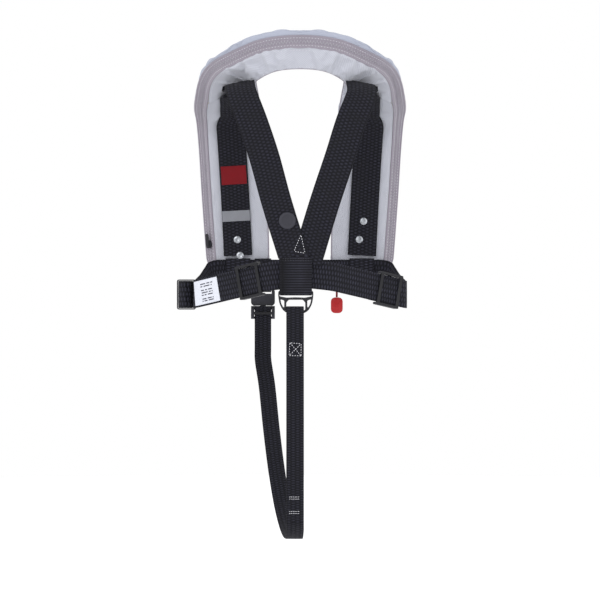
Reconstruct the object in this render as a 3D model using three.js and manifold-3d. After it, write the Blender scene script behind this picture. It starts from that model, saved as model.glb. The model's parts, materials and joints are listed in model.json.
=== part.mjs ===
// Inflatable life jacket with back harness and crotch strap.
// Millimetres. +X is the wearer's right, +Y the wearer's front, +Z up.
// The origin lies midway between the shoulders, where the jacket hangs on its wearer.
import * as THREE from 'three';
import { mergeVertices } from 'three/addons/utils/BufferGeometryUtils.js';
import Module from 'manifold-3d';

const wasm = await Module();
wasm.setup();

// ---- Driving dimensions ----
const GAP = 0.3;                 // rest clearance between touching pieces
const WEB = 1.8;                 // webbing thickness
const BELT_WIDTH = 40;
const STRAP_WIDTH = 43;
const CROTCH_WIDTH = 25;
const WAIST_HALF_WIDTH = 154;    // belt centreline at the sides
const WAIST_BACK = 116;          // belt centreline behind the origin
const WAIST_FRONT = 108;         // belt centreline in front of the origin
const BELT_BACK_Z = -274;
const BELT_SIDE_Z = -304;
const BELT_FRONT_Z = -271;
const CROTCH_LOW_Z = -656;       // lowest run of the crotch strap
const YOKE_X = -6;               // the straps cross a little to the wearer's left
const CROTCH_FRONT_X = -56;      // where the crotch strap clips to the front belt

const WALL = 2;                  // cover fabric with its stiffener
const LINING = 2.4;
const LAYER_GAP = 0.6;           // between the soft layers, which twist over the shoulders
const ZIP_WIDE = 13;             // bevel of the cover that carries the burst zip
const ZIP_DEEP = 12;
const ZIP_THICK = 1.8;
const LOBE_X = 93.5;
const LOBE_LOW_Z = -262;
const LOBE_BASE_Y = 115;
const LOBE_WIDTH = 93;
const LOBE_THICK = 58;
const COLLAR_HEIGHT = 56;
const COLLAR_THICK = 24;
const GEAR_ROOM = 45;            // depth that the gas gear takes above the folded chamber
const BLADDER_THICK = LOBE_THICK - GEAR_ROOM;

const CYLINDER_R = 15.75;        // 33 g carbon dioxide cylinder
const CYLINDER_LENGTH = 112;
const HEAD_SIZE = [44, 30, 34];
const CORD_R = 1.5;
const ORAL_R = 8;

const V = (x, y, z) => new THREE.Vector3(x, y, z);

// ---- Solids ----
function closed(geometry) {
  const bare = geometry.index ? geometry.toNonIndexed() : geometry.clone();
  bare.deleteAttribute('normal');
  bare.deleteAttribute('uv');
  const merged = mergeVertices(bare, 1e-4);
  const index = Array.from(merged.index.array);
  const kept = [];
  for (let i = 0; i < index.length; i += 3) {
    const [a, b, c] = [index[i], index[i + 1], index[i + 2]];
    if (a !== b && b !== c && a !== c) kept.push(a, b, c);
  }
  merged.setIndex(kept);
  if (volume(merged) < 0) {
    for (let i = 0; i < kept.length; i += 3) {
      [kept[i + 1], kept[i + 2]] = [kept[i + 2], kept[i + 1]];
    }
    merged.setIndex(kept);
  }
  return merged;
}

function volume(geometry) {
  const p = geometry.getAttribute('position');
  const index = geometry.index.array;
  let sum = 0;
  for (let i = 0; i < index.length; i += 3) {
    const [a, b, c] = [0, 1, 2].map((k) => V().fromBufferAttribute(p, index[i + k]));
    sum += a.dot(b.cross(c)) / 6;
  }
  return sum;
}

function toManifold(geometry) {
  const solid = closed(geometry);
  return new wasm.Manifold(new wasm.Mesh({
    numProp: 3,
    vertProperties: Float32Array.from(solid.getAttribute('position').array),
    triVerts: Uint32Array.from(solid.index.array),
  }));
}

function fromManifold(solid) {
  const mesh = solid.getMesh();
  const geometry = new THREE.BufferGeometry();
  geometry.setAttribute('position', new THREE.BufferAttribute(Float32Array.from(mesh.vertProperties), 3));
  geometry.setIndex(Array.from(mesh.triVerts));
  return geometry;
}

function joined(geometries) {
  return fromManifold(geometries.map(toManifold).reduce((sum, next) => sum.add(next)));
}

function cut(body, tools) {
  return fromManifold(tools.map(toManifold).reduce((rest, tool) => rest.subtract(tool), toManifold(body)));
}

function block(low, high) {
  const size = high.map((h, i) => h - low[i]);
  const centre = high.map((h, i) => (h + low[i]) / 2);
  return new THREE.BoxGeometry(...size).translate(...centre);
}

function turned(profile, segments = 24) {
  const points = profile.map(([r, h]) => new THREE.Vector2(r, h));
  return new THREE.LatheGeometry(points, segments).rotateX(Math.PI / 2);
}

function rod(radius, length, segments = 24) {
  return turned([[0, 0], [radius, 0], [radius, length], [0, length]], segments);
}

function roundedShape(width, height, radius, corner = 3) {
  const [x, y, r] = [width / 2, height / 2, Math.min(radius, width / 2 - 0.1, height / 2 - 0.1)];
  const points = [];
  const centres = [[x - r, y - r], [r - x, y - r], [r - x, r - y], [x - r, r - y]];
  centres.forEach(([cx, cy], quarter) => {
    for (let i = 0; i <= corner; i += 1) {
      const angle = (quarter + i / corner) * Math.PI / 2;
      points.push(new THREE.Vector2(cx + r * Math.cos(angle), cy + r * Math.sin(angle)));
    }
  });
  return points;
}

function plate(points, depth, holes = []) {
  const shape = new THREE.Shape(points);
  holes.forEach((hole) => shape.holes.push(new THREE.Path(hole)));
  return new THREE.ExtrudeGeometry(shape, { depth, bevelEnabled: false, curveSegments: 6 });
}

// A solid through a row of stations. Each station has its point, its wide and out
// directions, and sectionOf gives its outline in those two directions. Every side quad is
// split from its low-wide corner, so that layers lofted on the same stations stay parallel.
function loft(stations, sectionOf) {
  const sections = stations.map(sectionOf);
  const size = sections[0].length;
  const places = [];
  stations.forEach(({ point, wide, out }, j) => sections[j].forEach(([a, b]) => {
    places.push(...point.clone().addScaledVector(wide, a).addScaledVector(out, b).toArray());
  }));
  const index = [];
  for (let j = 0; j < stations.length - 1; j += 1) {
    for (let i = 0; i < size; i += 1) {
      const next = (i + 1) % size;
      const [near, far] = [j * size, (j + 1) * size];
      const [[a0, b0], [a1, b1]] = [sections[j][i], sections[j][next]];
      const lowFirst = Math.abs(a0 - a1) > 1e-9 ? a0 < a1 : b0 < b1;
      if (lowFirst) {
        index.push(near + i, near + next, far + next, near + i, far + next, far + i);
      } else {
        index.push(near + i, near + next, far + i, near + next, far + next, far + i);
      }
    }
  }
  const last = (stations.length - 1) * size;
  const faces = (section) => {
    const outline = section.map(([a, b]) => new THREE.Vector2(a, b));
    return THREE.ShapeUtils.triangulateShape(outline, []);
  };
  faces(sections[0]).forEach(([a, b, c]) => index.push(a, c, b));
  faces(sections[sections.length - 1]).forEach(([a, b, c]) => index.push(last + a, last + b, last + c));
  const geometry = new THREE.BufferGeometry();
  geometry.setAttribute('position', new THREE.Float32BufferAttribute(places, 3));
  geometry.setIndex(index);
  return closed(geometry);
}

function ribbon(stations, width, thickness = WEB) {
  const [w, t] = [width / 2, thickness / 2];
  return loft(stations, () => [[-w, -t], [w, -t], [w, t], [-w, t]]);
}

// ---- Scene graph ----
const jacket = new THREE.Group();

const finishes = {
  webbing: new THREE.MeshStandardMaterial({ color: 0x1d1d25, roughness: 0.85, metalness: 0 }),
  cover: new THREE.MeshStandardMaterial({ color: 0xbfc4d2, roughness: 0.8, metalness: 0 }),
  lining: new THREE.MeshStandardMaterial({ color: 0xcdd0dc, roughness: 0.9, metalness: 0 }),
  zip: new THREE.MeshStandardMaterial({ color: 0x96919b, roughness: 0.7, metalness: 0 }),
  bladder: new THREE.MeshStandardMaterial({ color: 0xe8c21c, roughness: 0.5, metalness: 0 }),
  plastic: new THREE.MeshStandardMaterial({ color: 0x23232a, roughness: 0.45, metalness: 0 }),
  steel: new THREE.MeshStandardMaterial({ color: 0xb8bcc2, roughness: 0.3, metalness: 0.9 }),
  red: new THREE.MeshStandardMaterial({ color: 0xb81e22, roughness: 0.4, metalness: 0 }),
  label: new THREE.MeshStandardMaterial({ color: 0xd7dae4, roughness: 0.6, metalness: 0 }),
  stud: new THREE.MeshStandardMaterial({ color: 0x3e3e48, roughness: 0.5, metalness: 0 }),
};

function add(name, geometry, finish, parent = jacket) {
  const mesh = new THREE.Mesh(geometry, finishes[finish]);
  mesh.name = name;
  parent.add(mesh);
  return mesh;
}

// ---- Horseshoe: two chest lobes joined by a stand-up collar ----
// Keys run from the left lobe's foot over the left shoulder to the middle of the neck.
const leftKeys = [
  { at: [-LOBE_X, LOBE_BASE_Y, LOBE_LOW_Z], wide: [-1, 0, 0], width: LOBE_WIDTH - 7, thick: LOBE_THICK - 14 },
  { at: [-LOBE_X, LOBE_BASE_Y, LOBE_LOW_Z + 14], wide: [-1, 0, 0], width: LOBE_WIDTH, thick: LOBE_THICK - 2 },
  { at: [-LOBE_X - 4, LOBE_BASE_Y + 3, -170], wide: [-1, 0, 0], width: LOBE_WIDTH + 4, thick: LOBE_THICK },
  { at: [-LOBE_X - 8, LOBE_BASE_Y + 1, -100], wide: [-1, 0, 0], width: LOBE_WIDTH + 5, thick: LOBE_THICK },
  { at: [-105, 92, -45], wide: [-0.97, 0, -0.22], width: LOBE_WIDTH + 3, thick: 46 },
  { at: [-107, 28, -6], wide: [-0.87, 0, -0.49], width: LOBE_WIDTH + 1, thick: 34 },
  { at: [-96, -60, 16], wide: [-0.75, -0.45, 0.48], width: 68, thick: 27 },
  { at: [-52, -100, 38], wide: [-0.22, -0.45, 0.87], width: COLLAR_HEIGHT + 2, thick: COLLAR_THICK },
  { at: [0, -107, 44], wide: [0, -0.42, 0.91], width: COLLAR_HEIGHT, thick: COLLAR_THICK },
];

function mirrored(key) {
  const flip = ([x, y, z]) => [-x, y, z];
  return { ...key, at: flip(key.at), wide: flip(key.wide) };
}

const keys = [...leftKeys, ...leftKeys.slice(0, -1).reverse().map(mirrored)];
const spine = new THREE.CatmullRomCurve3(keys.map((key) => V(...key.at)), false, 'centripetal');
const wideCurve = new THREE.CatmullRomCurve3(keys.map((key) => V(...key.wide)), false, 'catmullrom');
const sizes = keys.map((key) => V(key.width, key.thick, 0));
const sizeCurve = new THREE.CatmullRomCurve3(sizes, false, 'catmullrom');

// u counts keys: 0 at the left lobe's foot, 8 at the middle of the neck, 16 at the right foot.
function horseshoe(u) {
  const t = u / (keys.length - 1);
  const along = spine.getTangent(t);
  const wide = wideCurve.getPoint(t);
  wide.addScaledVector(along, -wide.dot(along)).normalize();
  const out = wide.clone().cross(along).normalize();
  const size = sizeCurve.getPoint(t);
  return { point: spine.getPoint(t), wide, out, along, half: size.x / 2, thick: size.y };
}

// Runs share their stations wherever they overlap, so nested layers keep even gaps.
function horseshoeRun(from, to, perKey = 5) {
  const marks = [from];
  for (let i = Math.ceil(from * perKey + 0.1); i < to * perKey - 0.1; i += 1) marks.push(i / perKey);
  return [...marks, to].map(horseshoe);
}

const NECK = (keys.length - 1) / 2;
const LAST = keys.length - 1;

function shellSection({ half, thick }, wall) {
  const h = half - wall;
  const t = thick - wall;
  const base = wall > 0 ? -3 : 0;
  const shoulder = Math.min(0.55 * thick, t - 2);
  return [
    [-h, base],
    [half - ZIP_WIDE - wall, base],
    [half - ZIP_WIDE - wall + (wall > 0 ? 1 : 0), 0],
    [h, ZIP_DEEP],
    [h, shoulder],
    [0.86 * h, 0.84 * t],
    [0.55 * h, t],
    [-0.55 * h, t],
    [-0.86 * h, 0.84 * t],
    [-h, shoulder],
  ];
}

const cordX = LOBE_X - 37.5;
const cordY = LOBE_BASE_Y + 21;
const GLAND_R = 3.5;

function cover() {
  const outer = loft(horseshoeRun(0, LAST), (s) => shellSection(s, 0).filter((_, i) => i !== 2));
  const inner = loft(horseshoeRun(0.16, LAST - 0.16), (s) => shellSection(s, WALL));
  const cordHole = rod(GLAND_R + GAP, 12, 16).translate(cordX, cordY, LOBE_LOW_Z - 6);
  return cut(outer, [inner, cordHole]);
}

// Places across the lining side that the layers share: edge, bladder edge, middle and so on.
function columns(half) {
  const [left, right] = [-half + 1, half - ZIP_WIDE - 1];
  return [left, left + WALL + 0.8, (left + right) / 2, right - WALL, right];
}

function liningRun(from, to) {
  return loft(horseshoeRun(from, to), ({ half }) => [
    ...columns(half).map((w) => [w, -LINING - LAYER_GAP]),
    ...columns(half).reverse().map((w) => [w, -LAYER_GAP]),
  ]);
}

function burstZip() {
  const length = Math.hypot(ZIP_WIDE, ZIP_DEEP);
  const [nw, nn] = [ZIP_DEEP / length, -ZIP_WIDE / length];
  return loft(horseshoeRun(0.1, LAST - 0.1), ({ half }) => {
    const ends = [[half - ZIP_WIDE + 0.6, 0.6 * nn * -0.5], [half, ZIP_DEEP]];
    const inner = ends.map(([w, n]) => [w + GAP * nw, n + GAP * nn]);
    const outer = ends.map(([w, n]) => [w + (GAP + ZIP_THICK) * nw, n + (GAP + ZIP_THICK) * nn]);
    return [inner[0], outer[0], outer[1], inner[1]];
  });
}

function bladder() {
  return loft(horseshoeRun(0.3, LAST - 0.3), ({ half, thick }) => {
    const top = Math.min(BLADDER_THICK, thick * 0.5);
    const [, left, middle, right] = columns(half);
    const upper = [[right + 2, top * 0.5], [right, top], [left + 3, top], [left, top * 0.6]];
    return [[left, 0], [middle, 0], [right, 0], ...upper];
  });
}

add('cover', cover(), 'cover');
const SHOULDER = 5;              // key at which the lobe backing meets the collar lining
add('lobe_backing_left', liningRun(0.06, SHOULDER - 0.006), 'lining');
add('collar_lining', liningRun(SHOULDER, LAST - SHOULDER), 'lining');
add('lobe_backing_right', liningRun(LAST - SHOULDER + 0.006, LAST - 0.06), 'lining');
add('bladder', bladder(), 'bladder');
add('burst_zip', burstZip(), 'zip');

// Zip slider: rides on the zip at the foot of the left lobe's outer edge.
function zipFrame(u) {
  const s = horseshoe(u);
  const length = Math.hypot(ZIP_WIDE, ZIP_DEEP);
  const away = s.wide.clone().multiplyScalar(ZIP_DEEP / length).addScaledVector(s.out, -ZIP_WIDE / length);
  const middle = s.point.clone()
    .addScaledVector(s.wide, s.half - ZIP_WIDE / 2)
    .addScaledVector(s.out, ZIP_DEEP / 2);
  return { ...s, away, middle };
}

function placed(geometry, point, xAxis, zAxis) {
  const x = xAxis.clone().normalize();
  const y = zAxis.clone().cross(x).normalize();
  const z = x.clone().cross(y);
  const matrix = new THREE.Matrix4().makeBasis(x, y, z).setPosition(point);
  return geometry.applyMatrix4(matrix);
}

const ZIP_SLIDER = { u: 1.35, travel: 20, length: 12, width: 9, height: 3.5 };
const zipStart = zipFrame(ZIP_SLIDER.u);
// The slider runs straight, along the chord of the stretch of zip that it travels.
function zipChord() {
  let u = ZIP_SLIDER.u;
  while (zipFrame(u).middle.distanceTo(zipStart.middle) < ZIP_SLIDER.travel) u += 0.002;
  return zipFrame(u).middle.sub(zipStart.middle).normalize();
}
const zipAlong = zipChord();
const sliderFoot = 2 * GAP + ZIP_THICK + 0.2;
function zipSlider() {
  const body = plate(roundedShape(ZIP_SLIDER.length, ZIP_SLIDER.width, 3), ZIP_SLIDER.height);
  const foot = zipStart.middle.clone().addScaledVector(zipStart.away, sliderFoot);
  return placed(body, foot, zipAlong, zipStart.away);
}
function zipPull() {
  const tab = plate(roundedShape(20, 6, 2.5), 1.6).translate(6, 0, 0);
  const foot = zipStart.middle.clone().addScaledVector(zipStart.away, sliderFoot + ZIP_SLIDER.height + GAP);
  return placed(tab, foot, zipAlong, zipStart.away);
}
add('zip_slider', closed(zipSlider()), 'plastic');
add('zip_pull', closed(zipPull()), 'plastic');

// ---- Gas inflation gear in the right lobe ----
const layerY = LOBE_BASE_Y + 3 + BLADDER_THICK + 1 - GAP;
const headLow = -238;
const headX = 101;
const headTop = headLow + HEAD_SIZE[2];
const gear = new THREE.Group();
gear.position.set(headX, layerY + HEAD_SIZE[1] / 2 + 1.6, 0);
jacket.add(gear);

function inflatorBody() {
  const shell = plate(roundedShape(HEAD_SIZE[0], HEAD_SIZE[1], 6), HEAD_SIZE[2]).translate(0, 0, headLow);
  const socket = rod(7.3, 12, 20).translate(0, 0, headTop - 8);
  const capSeat = rod(11.3, 10, 20).translate(0, 0, headLow - 4);
  return cut(shell, [socket, capSeat]);
}
function co2Cylinder() {
  const neck = 12;
  const foot = headTop + GAP;
  const [r, end] = [CYLINDER_R, foot + CYLINDER_LENGTH];
  return turned([
    [0, foot - 6], [6.8, foot - 6], [6.8, foot + 3], [r - 3, foot + neck - 2], [r, foot + neck + 4],
    [r, end - 9], [r - 3, end - 3], [r - 8, end], [0, end],
  ], 20);
}
function sensorCap() {
  const top = headLow + 6 - GAP;
  return turned([[0, top - 16], [12.5, top - 16], [14, top - 14], [14, headLow - GAP], [11, headLow - GAP],
    [11, top], [0, top]], 20);
}
function gasPort() {
  const y = -HEAD_SIZE[1] / 2;
  return plate(roundedShape(18, 18, 8), 1.3).rotateX(Math.PI / 2).translate(0, y - GAP, headLow + 17);
}
add('inflator_body', inflatorBody(), 'plastic', gear);
add('co2_cylinder', closed(co2Cylinder()), 'steel', gear);
add('sensor_cap', closed(sensorCap()), 'red', gear);
add('bladder_port', closed(gasPort()), 'plastic', gear);

const leverTipX = cordX;
const leverPivot = V(headX - HEAD_SIZE[0] / 2 - 6, cordY, -224);
function inflatorLever() {
  const reach = leverPivot.x - leverTipX;
  const bar = plate(roundedShape(reach + 8, 7, 3.2), 5).rotateX(Math.PI / 2);
  return bar.translate(leverPivot.x - reach / 2, cordY + 2.5, leverPivot.z);
}
function leverBracket() {
  const y = cordY + 2.5 + GAP;
  const ear = plate(roundedShape(10, 10, 4), 3).rotateX(Math.PI / 2)
    .translate(leverPivot.x, y + 3, leverPivot.z);
  const headSide = headX - HEAD_SIZE[0] / 2 - GAP;
  const arm = block([leverPivot.x + 1, y, leverPivot.z - 4], [headSide, y + 3, leverPivot.z + 4]);
  return joined([ear, arm]);
}
add('inflator_lever', closed(inflatorLever()), 'red');
add('lever_bracket', leverBracket(), 'plastic');

function grommet() {
  const r = CORD_R + 0.5;
  const low = LOBE_LOW_Z - GAP - 1.4;
  return turned([[r, low], [6, low], [6, LOBE_LOW_Z - GAP], [GLAND_R, LOBE_LOW_Z - GAP],
    [GLAND_R, LOBE_LOW_Z + WALL + 1], [r, LOBE_LOW_Z + WALL + 1], [r, low]], 20)
    .translate(cordX, cordY, 0);
}
add('cord_grommet', closed(grommet()), 'plastic');

const TOGGLE = { top: -308, height: 24, width: 18, thick: 9 };
const cordTop = leverPivot.z - 3.5 - GAP;
const cordPoints = [
  V(cordX, cordY, cordTop),
  V(cordX, cordY, -250),
  V(cordX, cordY, -280),
  V(cordX, cordY, TOGGLE.top + GAP),
];
function pullCord() {
  const route = new THREE.CatmullRomCurve3(cordPoints);
  const section = new THREE.Shape(Array.from({ length: 8 }, (_, i) => new THREE.Vector2(
    CORD_R * Math.cos(i * Math.PI / 4),
    CORD_R * Math.sin(i * Math.PI / 4),
  )));
  return new THREE.ExtrudeGeometry(section, { steps: 14, extrudePath: route });
}
function pullToggle() {
  const grip = plate(roundedShape(TOGGLE.width, TOGGLE.height, 6), TOGGLE.thick).rotateX(Math.PI / 2);
  return grip.translate(cordX, cordY + TOGGLE.thick / 2, TOGGLE.top - TOGGLE.height / 2);
}
add('pull_cord', closed(pullCord()), 'red');
add('pull_toggle', closed(pullToggle()), 'red');

// ---- Oral inflation tube and whistle in the left lobe ----
const ORAL = { x: -100, low: -215, length: 104, capHeight: 14 };
const oral = new THREE.Group();
oral.position.set(ORAL.x, layerY + 14 - 0.9, ORAL.low);
jacket.add(oral);
function oralTube() {
  const tube = turned([[4, 0], [ORAL_R, 0], [ORAL_R, ORAL.length], [4, ORAL.length], [4, 0]], 20);
  const elbow = plate(roundedShape(24, 24, 8), 14 - ORAL_R + 2).rotateX(Math.PI / 2)
    .translate(0, -ORAL_R + 2, 13);
  return cut(joined([tube, elbow]), [rod(4, ORAL.length + 4, 16).translate(0, 0, -1)]);
}
function oralCap() {
  const [low, high] = [ORAL.length - 9, ORAL.length + 4];
  return turned([[ORAL_R + GAP, low], [ORAL_R + 2.2, low], [ORAL_R + 2.2, high - 1.5], [ORAL_R + 0.7, high],
    [0, high], [0, ORAL.length + GAP], [ORAL_R + GAP, ORAL.length + GAP], [ORAL_R + GAP, low]], 20);
}
const WHISTLE = { length: 44, width: 17, thick: 9 };
function whistle() {
  const body = plate(roundedShape(WHISTLE.width, WHISTLE.length, 5), WHISTLE.thick).rotateX(Math.PI / 2);
  const voice = block([-4, -20, -4], [4, -WHISTLE.thick + 3, 1]);
  return cut(body, [voice])
    .translate(-ORAL_R - WHISTLE.width / 2 - 2 * GAP - 3.8, WHISTLE.thick / 2, 52);
}
function whistleSleeve() {
  const wide = 2 * ORAL_R + WHISTLE.width + 10;
  const outline = roundedShape(wide, 2 * ORAL_R + 5, 8);
  const x = -(WHISTLE.width + 2) / 2 - 1;
  const sleeve = plate(outline, 18).translate(x, 0, 43);
  const hollow = plate(roundedShape(wide - 3, 2 * ORAL_R + 2 * GAP + 1, 7), 30).translate(x, 0, 37);
  return cut(sleeve, [hollow]);
}
add('oral_tube', oralTube(), 'plastic', oral);
add('oral_tube_cap', closed(oralCap()), 'red', oral);
add('whistle', whistle(), 'red', oral);
add('whistle_sleeve', whistleSleeve(), 'webbing', oral);

// ---- Waist belt ----
// Corners of the right half, from the middle of the back to the middle of the front,
// with the length trimmed off each side for its bend.
const beltCorners = [
  { at: V(0, -WAIST_BACK, BELT_BACK_Z), trim: 0 },
  { at: V(46, -WAIST_BACK, BELT_BACK_Z - 5), trim: 8 },
  { at: V(WAIST_HALF_WIDTH, 64 - WAIST_BACK, BELT_SIDE_Z), trim: 10 },
  { at: V(WAIST_HALF_WIDTH + 2, 18, BELT_SIDE_Z), trim: 14 },
  { at: V(WAIST_HALF_WIDTH - 8, 78, BELT_SIDE_Z + 13), trim: 18 },
  { at: V(WAIST_HALF_WIDTH - 22, WAIST_FRONT, BELT_FRONT_Z), trim: 13 },
  { at: V(0, WAIST_FRONT, BELT_FRONT_Z), trim: 0 },
];

function roundedPath(corners) {
  const path = new THREE.CurvePath();
  let from = corners[0].at;
  for (let i = 1; i < corners.length; i += 1) {
    const { at, trim } = corners[i];
    const last = i === corners.length - 1;
    const arriving = at.clone().sub(corners[i - 1].at).normalize();
    const entry = last ? at : at.clone().addScaledVector(arriving, -trim);
    path.add(new THREE.LineCurve3(from, entry));
    if (!last) {
      const exit = at.clone().addScaledVector(corners[i + 1].at.clone().sub(at).normalize(), trim);
      path.add(new THREE.QuadraticBezierCurve3(entry, at, exit));
      from = exit;
    }
  }
  return path;
}

const beltPath = roundedPath(beltCorners);
const BEND_STEPS = 4;
const beltMarks = [];            // lengths along the half belt at which a station is needed
let beltLength = 0;
beltPath.curves.forEach((curve) => {
  const steps = curve.isLineCurve3 ? 1 : BEND_STEPS;
  for (let i = 0; i < steps; i += 1) {
    const t = i / steps;
    beltMarks.push({ s: beltLength + curve.getLength() * t, curve, t });
  }
  beltLength += curve.getLength();
});

function beltPoint(s) {
  let rest = Math.abs(s);
  let curve = beltPath.curves[0];
  for (curve of beltPath.curves) {
    if (rest <= curve.getLength() + 1e-6) break;
    rest -= curve.getLength();
  }
  const t = Math.min(1, rest / curve.getLength());
  const point = curve.getPoint(t);
  const along = curve.getTangent(t);
  if (s < 0) {
    point.x *= -1;
    along.set(along.x, -along.y, -along.z);
  }
  const out = along.clone().cross(V(0, 0, 1)).normalize();
  const wide = out.clone().cross(along).normalize();
  return { point, wide, out, along };
}

// Positive lengths run over the wearer's right side, negative ones over the left.
function beltRun(from, to, layer) {
  const inside = [];
  beltMarks.forEach(({ s }) => [s, -s].forEach((mark) => {
    if (mark > from + 0.5 && mark < to - 0.5 && !inside.includes(mark)) inside.push(mark);
  }));
  const marks = [from, ...inside.sort((a, b) => a - b), to];
  return marks.map((s) => {
    const station = beltPoint(s);
    station.point.addScaledVector(station.out, typeof layer === 'function' ? layer(Math.abs(s)) : layer);
    return station;
  });
}

const OUTER_LAYER = (WEB + GAP) / 2;
const INNER_LAYER = -OUTER_LAYER;
const cornerOne = beltCorners[0].at.distanceTo(beltCorners[1].at);
const STRETCH = beltCorners[1].at.distanceTo(beltCorners[2].at);
const bendLoss = 2 * beltCorners[1].trim - beltPath.curves[1].getLength();
const stretchMark = (distance) => cornerOne - bendLoss + distance;

const LEFT_GLIDE = { centre: 30, length: 38 };
const RIGHT_GLIDE = { centre: 96, length: 38 };
const TAIL_END = 82;             // from the belt's back corner to the cut end on the left

const BACK_BELT_END = 114;       // from the belt's back corner to its other end, on the right
const backBelt = beltRun(-stretchMark(TAIL_END), stretchMark(BACK_BELT_END), OUTER_LAYER);
add('back_belt', ribbon(backBelt, BELT_WIDTH), 'webbing');

function triGlide(width, length) {
  const stack = WEB + GAP / 2;
  const rail = width / 2 + 0.6;
  const edge = rail + 3.6;
  const bar = (x, half, low, high) => block([x - half, -edge + 0.5, low], [x + half, edge - 0.5, high]);
  const side = (sign) => {
    const points = roundedShape(length, 3.6, 1.6);
    return plate(points, 2 * stack + 6).translate(0, sign * (rail + 1.8), -stack - 3);
  };
  const over = stack + GAP;
  return joined([
    side(1),
    side(-1),
    bar(-length / 2 + 2.8, 2.4, over, over + 2.6),
    bar(length / 2 - 2.8, 2.4, over, over + 2.6),
    bar(0, 2.6, -over - 2.4, -over),
  ]);
}

function onBelt(geometry, s, layer = 0) {
  const { point, along, out } = beltPoint(s);
  return placed(geometry, point.clone().addScaledVector(out, layer), along, out);
}
const leftGlide = onBelt(triGlide(BELT_WIDTH, LEFT_GLIDE.length), -stretchMark(LEFT_GLIDE.centre));
const rightGlide = onBelt(triGlide(BELT_WIDTH, RIGHT_GLIDE.length), stretchMark(RIGHT_GLIDE.centre));
add('adjuster_left', leftGlide, 'plastic');
add('adjuster_right', rightGlide, 'plastic');

// ---- Front buckle ----
// Built along x with its mouth at x = length, z outwards, webbing passing below it.
const BUCKLE = { skin: 1.8, cavity: 7.6, bar: 3.6, slot: 4.4, side: 5.5, insert: 17, play: 1.2 };

function buckleFemale(width, length) {
  const half = width / 2 + BUCKLE.side;
  const top = BUCKLE.cavity + BUCKLE.skin;
  const shell = plate(roundedShape(length, 2 * half, 5), top + BUCKLE.skin)
    .translate(length / 2, 0, -BUCKLE.skin);
  const slotEnd = BUCKLE.bar + BUCKLE.slot;
  const webSlot = block([BUCKLE.bar, -width / 2 - 0.6, -10], [slotEnd, width / 2 + 0.6, top + 10]);
  const thinner = block([-10, -width / 2 - 0.6, BUCKLE.skin], [slotEnd, width / 2 + 0.6, top + 10]);
  const mouth = length - BUCKLE.insert;
  const cavity = block([mouth - 1, -half + 2.4, 0], [length + 10, half - 2.4, BUCKLE.cavity]);
  const windows = block([mouth + 1, -half - 10, 0.6], [length - 4, half + 10, BUCKLE.cavity - 0.6]);
  return cut(shell, [webSlot, thinner, cavity, windows]);
}

function buckleMale(width, length) {
  const half = width / 2 + BUCKLE.side;
  const top = BUCKLE.cavity + BUCKLE.skin;
  const web = -BUCKLE.skin - GAP - WEB - GAP;
  const root = block([length + 0.5, -half, -BUCKLE.skin], [length + 6, half, top]);
  const rail = (sign) => {
    const [a, b] = [sign * (width / 2 + 0.7), sign * half].sort((p, q) => p - q);
    return block([length + 4, a, web - 2.4], [length + 20, b, top - 2]);
  };
  const reach = half - 0.5;
  const outer = block([length + 16.5, -reach, -BUCKLE.skin], [length + 20, reach, BUCKLE.skin + 1]);
  const under = block([length + 9.5, -reach, web - 2.4], [length + 13.5, reach, web]);
  const [floor, roof] = [BUCKLE.play, BUCKLE.cavity - BUCKLE.play];
  const tongue = block([length - BUCKLE.insert + 1, -4, floor], [length + 1, 4, roof]);
  return joined([root, rail(1), rail(-1), outer, under, tongue]);
}

// One sprung arm, on the +y side; the other is its mirror.
function buckleArm(width, length, sign) {
  const half = width / 2 + BUCKLE.side;
  const [rootX, tipX] = [length + 0.5 - GAP, length - BUCKLE.insert + 2.6];
  const outline = [
    [rootX, half - 7], [rootX, half - 3.6], [length - 6, half - 2.9], [length - 8, half - 2.7],
    [tipX + 3, half - 2.8], [tipX, half - 4.4], [tipX + 1, half - 6.2], [length - 6, half - 6],
  ].map(([x, y]) => new THREE.Vector2(x, sign * y));
  return plate(outline, BUCKLE.cavity - 2 * BUCKLE.play).translate(0, 0, BUCKLE.play);
}

const FRONT_BUCKLE = { x: -32, length: 30 };
const webBelow = BUCKLE.skin + GAP + WEB / 2;
const frontPoint = V(FRONT_BUCKLE.x, WAIST_FRONT + webBelow, BELT_FRONT_Z);
function front(geometry) {
  return placed(geometry, frontPoint, V(1, 0, 0), V(0, 1, 0));
}
add('buckle_female', front(buckleFemale(BELT_WIDTH, FRONT_BUCKLE.length)), 'plastic');
add('buckle_male', front(buckleMale(BELT_WIDTH, FRONT_BUCKLE.length)), 'plastic');
add('buckle_arm_upper', closed(front(buckleArm(BELT_WIDTH, FRONT_BUCKLE.length, -1))), 'plastic');
add('buckle_arm_lower', closed(front(buckleArm(BELT_WIDTH, FRONT_BUCKLE.length, 1))), 'plastic');

// Webbing folded round a bar: x runs along the pull, z outwards, the fold at x = 0.
function foldStations(lead, back, barTop, barBottom, radius) {
  const low = barBottom - GAP - WEB / 2;
  const high = barTop + GAP + WEB / 2;
  const arc = [];
  const middle = (low + high) / 2;
  const r = (high - low) / 2;
  for (let i = 0; i <= 6; i += 1) {
    const angle = -Math.PI / 2 + Math.PI * i / 6;
    arc.push([radius + Math.cos(angle) * r, middle + Math.sin(angle) * r]);
  }
  const rest = low + WEB + GAP;
  return [[-lead, low], ...arc, [-1, high], [-9, rest], [-back, rest]];
}

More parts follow.
